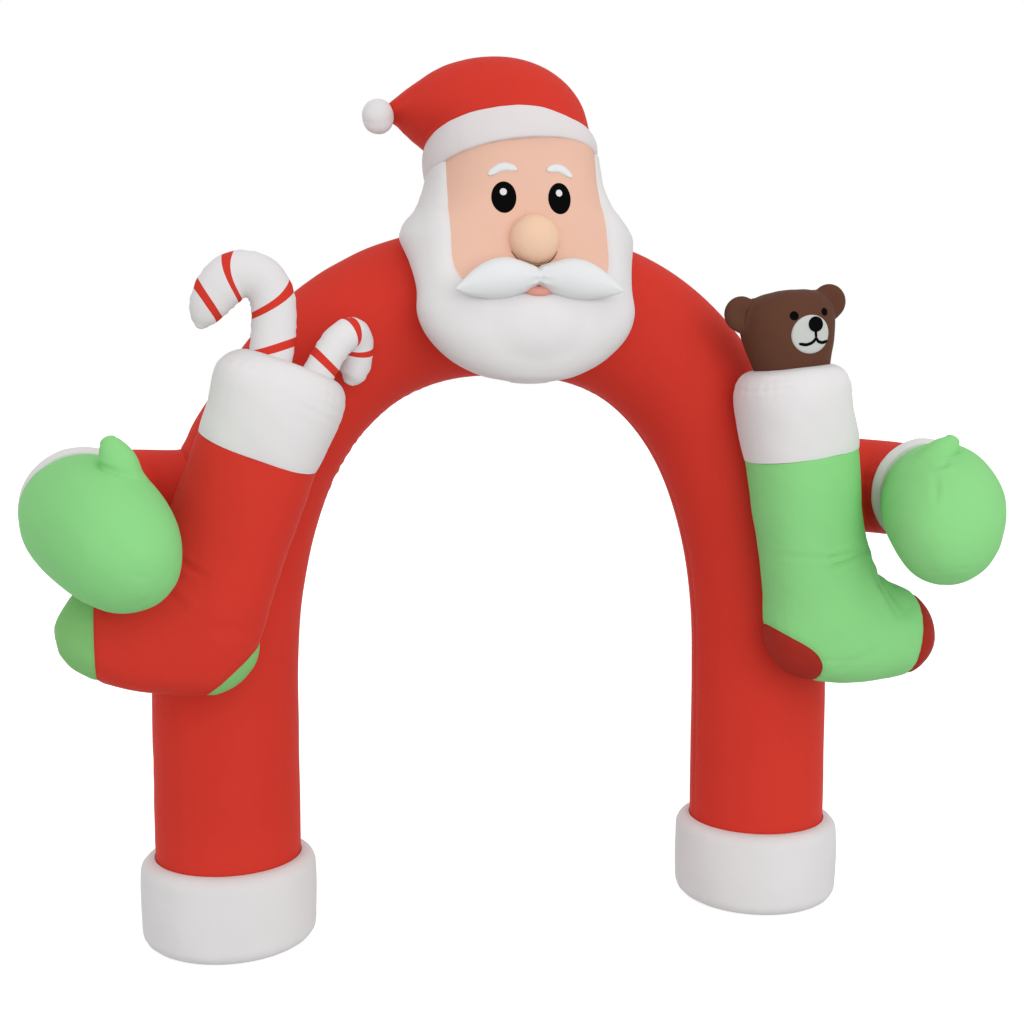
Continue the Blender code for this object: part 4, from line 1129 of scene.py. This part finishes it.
sockPlace = {
    "left": {
        "side": -1, "seam": (-0.824, -0.375, 1.627), "lean": 20.0, "seamLean": 0.133, "seamDrop": 0.0,
        "slack": 0.0, "toeSlack": 0.0, "toeExtra": -0.010, "soleExtra": -0.018, "soleDrop": 0.010,
        "seamTilt": 0.0, "cuffSwell": (0.020, 0.205, 0.075),
        "heelSeam": ((-0.197, -0.532), (-0.075, -0.762)), "heelBow": 0.0,
        "toeSeam": (0.267, -0.650), "toeNormal": (0.940, -0.342),
        "cloth": "red", "patch": "leaf",
        "creases": (
            ((0.21, -0.345), (0.03, -0.385), 0.012, 0.0050),
            ((0.22, -0.415), (0.07, -0.480), 0.014, 0.0060),
            ((0.20, -0.375), (0.10, -0.400), 0.010, 0.0035),
            ((-0.16, -0.500), (-0.02, -0.520), 0.020, 0.0022),
        ),
        "cuffCreases": (
            ((-0.21, 0.150), (-0.05, 0.170), 0.008, 0.0018),
            ((-0.20, 0.190), (-0.10, 0.196), 0.007, 0.0014),
        ),
    },
    "right": {
        "side": 1, "seam": (0.905, -0.375, 1.600), "lean": 6.0, "seamLean": 0.048, "seamDrop": 0.003,
        "slack": 0.032, "toeSlack": 0.009, "toeExtra": 0.018, "soleExtra": -0.010, "soleDrop": 0.001,
        "seamTilt": 0.050, "cuffSwell": (-0.015, 0.150, 0.080),
        "heelSeam": ((-0.172, -0.538), (-0.045, -0.770)), "heelBow": 0.056,
        "toeSeam": (0.323, -0.600), "toeNormal": (0.976, -0.218),
        "cloth": "mint", "patch": "darkRed",
        "creases": (
            ((0.140, -0.320), (0.000, -0.330), 0.009, 0.0065),
            ((0.030, -0.330), (-0.185, -0.304), 0.009, 0.0034),
            ((0.165, -0.330), (0.012, -0.359), 0.010, 0.0080),
            ((0.165, -0.405), (0.225, -0.550), 0.012, 0.0050),
            ((0.215, -0.420), (0.265, -0.530), 0.034, 0.0150),
            ((-0.10, -0.655), (0.06, -0.668), 0.009, 0.0018),
            ((0.16, -0.640), (0.02, -0.690), 0.016, 0.0020),
        ),
        "cuffCreases": (
            ((-0.205, 0.216), (-0.09, 0.214), 0.006, 0.0028),
            ((-0.14, 0.250), (-0.10, 0.244), 0.006, 0.0022),
        ),
    },
}


class SockFrame:
    def __init__(self, spot):
        lean, side = math.radians(spot["lean"]), spot["side"]
        self.spot = spot
        self.seam = np.array(spot["seam"]) + onPlane
        self.toeward = np.array((side * math.cos(lean), 0.0, math.sin(lean)))
        self.up = np.array((-side * math.sin(lean), 0.0, math.cos(lean)))

    def point(self, u, w):
        u, w = np.asarray(u, float), np.asarray(w, float)
        return self.seam + u[..., None] * self.toeward + w[..., None] * self.up

    def flat(self, co):
        away = co - self.seam
        return away @ self.toeward, away @ self.up

    def front(self, co):  # 1 on the half that faces forward
        return smooth(self.seam[1] - co[:, 1], -0.03, 0.05)

    def overSeam(self, co):  # metres above the seam under the cuff, which leans, drops and tilts
        u, w = self.flat(co)
        lower = self.spot["seamDrop"] - self.spot["seamTilt"] * u
        return w + lower - self.spot["seamLean"] * (co[:, 1] - self.seam[1])

    def sections(self, heel, toe, w, depth):
        share = 1 - smooth(np.abs(w), 0, np.where(w < 0, *sock["seamReach"]))
        tilt = self.spot["seamTilt"] * share
        shift = [np.outer(tilt * ((end - self.seam) @ self.toeward), self.up) for end in (heel, toe)]
        heel, toe = heel + shift[0], toe + shift[1]
        drop = np.outer(-self.spot["seamDrop"] * share, self.up)
        through = np.outer(depth, (0, 1, 0)) + np.outer(self.spot["seamLean"] * depth * share, self.up)
        return (heel + toe) / 2 + drop, (toe - heel) / 2, through


class HeelSeam:
    def __init__(self, plane, spot):
        start, end = (np.array(point) for point in spot["heelSeam"])
        self.plane, self.start, self.bow = plane, start, spot["heelBow"]
        self.length = np.linalg.norm(end - start)
        self.chord = (end - start) / self.length
        self.normal = np.array((self.chord[1], -self.chord[0]))
        self.away = plane.point(*self.normal) - plane.seam

    def bowed(self, co):  # how far the seam lies from its chord, beside each point
        u, w = self.plane.flat(co)
        share = ((u - self.start[0]) * self.chord[0] + (w - self.start[1]) * self.chord[1]) / self.length
        return self.bow * np.sin(math.pi * np.clip(share, 0, 1) ** sock["heelSkew"])

    def gap(self, co):
        u, w = self.plane.flat(co)
        return (u - self.start[0]) * self.normal[0] + (w - self.start[1]) * self.normal[1] + self.bowed(co)

    def cut(self, piece, facing):  # straightens the seam, cuts along it, and bends it back
        co = pointsOf(piece)
        place(piece, co + np.outer(self.bowed(co), self.away))
        cut(piece, self.plane.point(*self.start) - facing * self.away * gap / 2, facing * self.away)
        co = pointsOf(piece)
        place(piece, co - np.outer(self.bowed(co), self.away))


def sockSections(spot, plane):
    heelU, heelW, toeU, toeW, depth = throughRows(sock["rows"], sock["rings"]).T
    down = np.minimum(1, -heelW / sock["calfLength"])
    under = np.clip((heelU - sock["heelTurn"]) / (sock["soleMiddle"] - sock["heelTurn"]), 0, 1)
    heelU = heelU + spot["slack"] * down * (1 - under)
    middle, reach = sock["sole"]
    heelW = heelW - spot["soleDrop"] * hump(heelU - middle, reach) * (heelW < -0.7)
    middle, reach = sock["narrow"]
    narrower = spot["toeSlack"] * hump(toeW - middle, reach) * (toeU < sock["cuffSide"])
    footLength = sock["toeEnd"] - sock["cuffSide"]
    above, below = (np.clip((u - sock["cuffSide"]) / footLength, 0, 1) for u in (toeU, heelU))
    toeU, heelU = toeU - narrower + spot["toeExtra"] * above, heelU + spot["soleExtra"] * below
    return plane.sections(plane.point(heelU, heelW), plane.point(toeU, toeW), (heelW + toeW) / 2, depth)


def makeSock(label):
    spot = sockPlace[label]
    name = label.title()
    plane = SockFrame(spot)
    heelSeam = HeelSeam(plane, spot)
    leg = loft(f"sockLeg{name}", sockSections(spot, plane), sock["columns"], sock["power"], (0.0, 0.003))
    co, around = surface(leg)[:2]
    (u, w), top = plane.flat(co), plane.overSeam(co)
    offset = creases(u, w, spot["creases"]) * plane.front(co)
    offset += uneven(co, 0.0022, 0.26) + uneven(co + 3, 0.0009, 0.10)
    (ankleU, ankleW, reach), (size, pitch) = sock["ankle"], sock["ankleFolds"]
    bend = hump(np.hypot(u - ankleU, w - ankleW), reach)
    offset += size * np.sin((w - 0.45 * u) / pitch + 2.2 * np.sin(co[:, 1] * 12)) * bend
    (toeU, toeW), (normalU, normalW) = spot["toeSeam"], spot["toeNormal"]
    toeGap = (u - toeU) * normalU + (w - toeW) * normalW
    heelGap = heelSeam.gap(co)
    run = around * sock["girth"]
    for distance, seed in ((toeGap, 0.5), (heelGap, 1.9)):
        offset += groove(distance, *sock["groove"]) + gathers(distance, run, *sock["folds"], seed)
    offset += groove(top, *sock["hem"])
    offset *= smooth(-top, -0.001, 0.004)
    inEnd = (top > -1e-4) & (np.abs(u) < 0.15) & (np.abs(co[:, 1] - plane.seam[1]) < 0.13)
    swell(leg, offset * ~inEnd)
    place(leg, offTube(pointsOf(leg)))
    markSeam(leg, np.where(np.abs(toeGap) < np.abs(heelGap), toeGap, heelGap), run)
    toeMiddle = plane.point(toeU, toeW)
    toeAway = plane.point(normalU, normalW) - plane.seam
    toe, heel = copied(leg, f"sockToe{name}"), copied(leg, f"sockHeel{name}")
    cut(toe, toeMiddle + toeAway * gap / 2, -toeAway)
    cut(leg, toeMiddle - toeAway * gap / 2, toeAway)
    heelSeam.cut(heel, -1)
    heelSeam.cut(leg, 1)
    finished(leg, spot["cloth"], f"stocking_leg_{label}")
    finished(toe, spot["patch"], f"stocking_toe_{label}")
    finished(heel, spot["patch"], f"stocking_heel_{label}")
    makeSockCuff(label, spot, plane)


def makeSockCuff(label, spot, plane):
    w, toeHalf, heelHalf, deep = throughRows(sock["cuff"], sock["cuffRings"]).T
    size, middle, reach = spot["cuffSwell"]
    toeHalf = toeHalf + size * hump(w - middle, reach)
    lift = np.maximum(w, gap)
    sections = plane.sections(plane.point(-heelHalf, lift), plane.point(toeHalf, lift), w, deep)
    cuff = loft(f"sockCuff{label.title()}", sections, sock["columns"], sock["cuffPower"], (0.0, 0.001))
    co, around = surface(cuff)[:2]
    u, w = plane.flat(co)
    shell = smooth(np.hypot(u / 0.2, (co[:, 1] - plane.seam[1]) / 0.176), 0.55, 0.75)
    cap = w - sock["capSeam"]
    offset = groove(plane.overSeam(co), *sock["hem"]) + groove(cap, *sock["capGroove"])
    offset += gathers(cap, around * sock["cuffGirth"], *sock["capFolds"])
    offset += creases(u, w, spot["cuffCreases"]) * plane.front(co) + uneven(co + 1, 0.0022, 0.2)
    swell(cuff, offset * shell)
    place(cuff, offTube(pointsOf(cuff)))
    finished(cuff, "white", f"stocking_cuff_{label}")


for label in sides:
    makeSock(label)
print("stockings made")


# ---- the two canes in the left stocking

cane = {
    # x, y, z, radius
    "large": (
        (-0.792, -0.385, 1.862, 0.063), (-0.778, -0.385, 1.925, 0.065), (-0.770, -0.385, 2.030, 0.066),
        (-0.782, -0.385, 2.098, 0.067), (-0.820, -0.385, 2.136, 0.068), (-0.878, -0.385, 2.140, 0.069),
        (-0.924, -0.385, 2.102, 0.068), (-0.957, -0.385, 2.052, 0.057), (-0.975, -0.385, 2.014, 0.039),
        (-0.984, -0.385, 1.990, 0.014),
    ),
    "small": (
        (-0.662, -0.400, 1.820, 0.046), (-0.640, -0.400, 1.862, 0.047), (-0.604, -0.400, 1.922, 0.048),
        (-0.570, -0.392, 1.960, 0.048), (-0.540, -0.372, 1.974, 0.047), (-0.520, -0.345, 1.948, 0.047),
        (-0.522, -0.325, 1.896, 0.047), (-0.534, -0.318, 1.850, 0.040), (-0.546, -0.316, 1.826, 0.018),
    ),
    "rings": 110, "columns": 72,
    "groove": (0.0018, 0.005), "folds": (0.0016, 0.034, 0.022), "swells": (0.0010, 0.09),
}
stripes = {  # how far along the cane, how far it leans from side to side, and its width
    "large": ((0.064, 0.030, 0.026), (0.195, 0.035, 0.024), (0.379, -0.025, 0.018), (0.474, -0.031, 0.026)),
    "small": ((0.076, -0.012, 0.024), (0.197, -0.004, 0.020), (0.310, 0.000, 0.020)),
}


def makeCane(size):
    table = evenly(throughRows(cane[size], 300), cane["rings"])
    path, radii = table[:, :3] + onPlane, table[:, 3]
    sections = tubeSections(path, radii, (0, 1, 0))
    made = loft(f"cane{size.title()}", sections, cane["columns"], 2.0, (0.0, 0.006))
    co, around, along = surface(made)
    offset = uneven(co, *cane["swells"])
    for middle in (0.0, 0.5):
        seam = fromSeam(around, middle) * 2 * math.pi * radii.max()
        offset += groove(seam, *cane["groove"]) + gathers(seam, along, *cane["folds"], middle * 4)
    swell(made, offset * smooth(along.max() - along, 0.0, 0.02))
    run = along - along[5 * cane["columns"]]
    lateral = np.cos(2 * math.pi * around)
    gaps = [np.abs(run - middle - lean * lateral) - width / 2 for middle, lean, width in stripes[size]]
    found = made.data.attributes.new("stripeGap", "FLOAT", "POINT")
    found.data.foreach_set("value", np.min(gaps, axis=0).astype(np.float32))
    finished(made, "striped", f"cane_{size}")


for size in stripes:
    makeCane(size)
print("canes made")


# ---- the bear in the right stocking

bear = {
    "base": (0.863, -0.38, 1.874), "roll": -8.0, "power": 2.2, "rings": 70, "columns": 120,
    # z, half width, half depth
    "rows": (
        (-0.020, 0.118, 0.098), (0.020, 0.127, 0.108), (0.070, 0.141, 0.118), (0.130, 0.152, 0.122),
        (0.180, 0.146, 0.116), (0.215, 0.120, 0.098), (0.235, 0.076, 0.064), (0.241, 0.030, 0.024),
    ),
    "earX": 0.150, "earZ": 0.187, "earHalf": (0.056, 0.032, 0.056), "earFillet": 0.034,
    "muzzle": (0.024, 0.0975, 0.066, 0.060), "nose": (0.040, 0.1265, 0.026, 0.024),
    "eyes": ((-0.0256, 0.1613, 0.0143), (0.0829, 0.1601, 0.0125)),
    "mouth": ((0.037, 0.0855), (0.026, 0.0738), (0.003, 0.0677), (-0.023, 0.0741)),
    "mouthRight": ((0.037, 0.0855), (0.044, 0.0727), (0.060, 0.0668), (0.081, 0.0694)),
    "mouthStem": ((0.037, 0.110), (0.037, 0.098), (0.037, 0.0855)),
    "mouthWidth": 0.0102, "muzzleLift": 0.0068, "earCup": (0.010, 0.026),  # depth and reach
}
bearFrame = TiltedFrame(bear["base"], 0.0, bear["roll"])
bearTable = throughRows(bear["rows"], 300)


def bearAt(z):  # half width and half depth
    return [np.interp(z, bearTable[:, 0], bearTable[:, k]) for k in (1, 2)]


def bearSkin(x, z):  # y of the bear's front for world x and z
    middle = bearFrame.centre[1]
    local = bearFrame.own(np.stack((x, 0 * x + middle, z), axis=1))
    halfWidth, halfDepth = bearAt(local[:, 2])
    share = np.clip(np.abs(local[:, 0]) / halfWidth, 0, 1)
    return middle - halfDepth * (1 - share ** bear["power"]) ** (1 / bear["power"])


def muzzleSkin(x, z):
    return bearSkin(x, z) - bear["muzzleLift"]


def bearFlat(points):  # points given across and up the bear's own face, in world x and z
    return bearFrame.placed(np.array([(x, 0, z) for x, z in points]))[:, (0, 2)]


def bearOval(x, z, *shape):
    return oval(*bearFlat([(x, z)])[0], *shape)


def makeBearHead():
    z, wide, deep = throughRows(bear["rows"], bear["rings"]).T
    across = np.outer(wide, bearFrame.turn[:, 0])
    sections = (bearFrame.placed(np.outer(z, (0, 0, 1))), across, np.outer(deep, (0, 1, 0)))
    skull = loft("bearHead", sections, bear["columns"], bear["power"], (0.0, 0.001))
    co = pointsOf(skull)
    local = bearFrame.own(co)
    offset = uneven(co, 0.0012, 0.16)
    for side in sides.values():
        away = (local - (side * bear["earX"], 0, bear["earZ"])) / bear["earHalf"]
        offset += fillet((np.linalg.norm(away, axis=1) - 1) * bear["earHalf"][0], bear["earFillet"])
    swell(skull, offset)
    finished(skull, "brown", "bear_head")


def makeBearEar(label, side):
    earX, earZ = side * bear["earX"], bear["earZ"]
    middle = bearFrame.placed(np.array((earX, 0, earZ))) - onPlane
    ear = ball(f"bearEar{label.title()}", middle, bear["earHalf"], 56, bearFrame.turn)
    co = pointsOf(ear)
    x, y, z = bearFrame.own(co).T
    depth, reach = bear["earCup"]
    co[:, 1] += depth * hump(np.hypot(x - earX, z - earZ), reach) * (y < 0)
    place(ear, co)
    halfWidth, halfDepth = bearAt(z)
    apart = (np.hypot(x / halfWidth, y / halfDepth) - 1) * halfWidth
    swell(ear, fillet(apart, bear["earFillet"]))
    finished(ear, "brown", f"bear_ear_{label}")


def makeBearFace():
    tilt = -math.radians(bear["roll"])
    patch("muzzle", bearOval(*bear["muzzle"], tilt), bearSkin, "muzzleWhite", 0.007, 12)
    patch("bearNose", bearOval(*bear["nose"], tilt), muzzleSkin, "black", 0.006, 10)
    for number, (x, z, radius) in enumerate(bear["eyes"]):
        patch(f"bearEye{number + 1}", bearOval(x, z, radius, radius, 0, 36), bearSkin, "black", 0.003, 6)
    for label in ("mouth", "mouthRight", "mouthStem"):
        line = bearFlat(bear[label])
        strip("bear" + label[0].upper() + label[1:], line, bear["mouthWidth"], muzzleSkin, "black", 0.0022)


makeBearHead()
for label, side in sides.items():
    makeBearEar(label, side)
makeBearFace()
print("bear made")


# ---- floor and light

light = {
    "surround": (0.76, 0.21),  # its strength at the level of the eye, and how much more there is overhead
    "key": 104, "keyPlace": (0.6, -5.4, 2.6), "keyAim": (0.0, 0.0, 1.3), "keySize": 5.0,
    "floor": 0.94, "glow": 0.46,
}


def addFloor():
    bpy.ops.object.select_all(action="DESELECT")
    bpy.ops.mesh.primitive_plane_add(size=160, location=(0, 0, 0))
    floor = bpy.context.active_object
    floor.name = "floor"
    material = bpy.data.materials.new("paleFloor")
    tone = light["floor"]
    Graph(material).feed(material.node_tree.nodes["Principled BSDF"], {
        "Base Color": (tone, tone, tone, 1),
        "Roughness": 0.9,
        "Emission Color": (1, 1, 1, 1),
        "Emission Strength": light["glow"],
    })
    floor.data.materials.append(material)
    floor.visible_diffuse = False


def addKey():
    key = bpy.data.objects.new("key", bpy.data.lights.new("key", "AREA"))
    key.data.shape = "DISK"
    key.data.size = light["keySize"]
    key.data.energy = light["key"]
    key.location = Vector(light["keyPlace"])
    key.rotation_euler = (Vector(light["keyAim"]) - key.location).to_track_quat("-Z", "Y").to_euler()
    bpy.context.scene.collection.objects.link(key)


def addWorld():  # the camera sees a plain white, whatever lights the arch
    world = bpy.data.worlds.new("studio")
    bpy.context.scene.world = world
    g = Graph(world)
    level, overhead = light["surround"]
    generated = g.node("ShaderNodeTexCoord")
    sky = g.node("ShaderNodeSeparateXYZ", (), {0: generated}, 2) * overhead + level
    seen = g.node("ShaderNodeLightPath")
    strength = g.node("ShaderNodeMix", (), {0: seen, 2: sky, 3: 1.0})
    g.feed(world.node_tree.nodes["Background"], {"Color": (1, 1, 1, 1), "Strength": strength})


addFloor()
addKey()
addWorld()
bpy.context.scene.view_settings.view_transform = "Standard"
print("stage made")
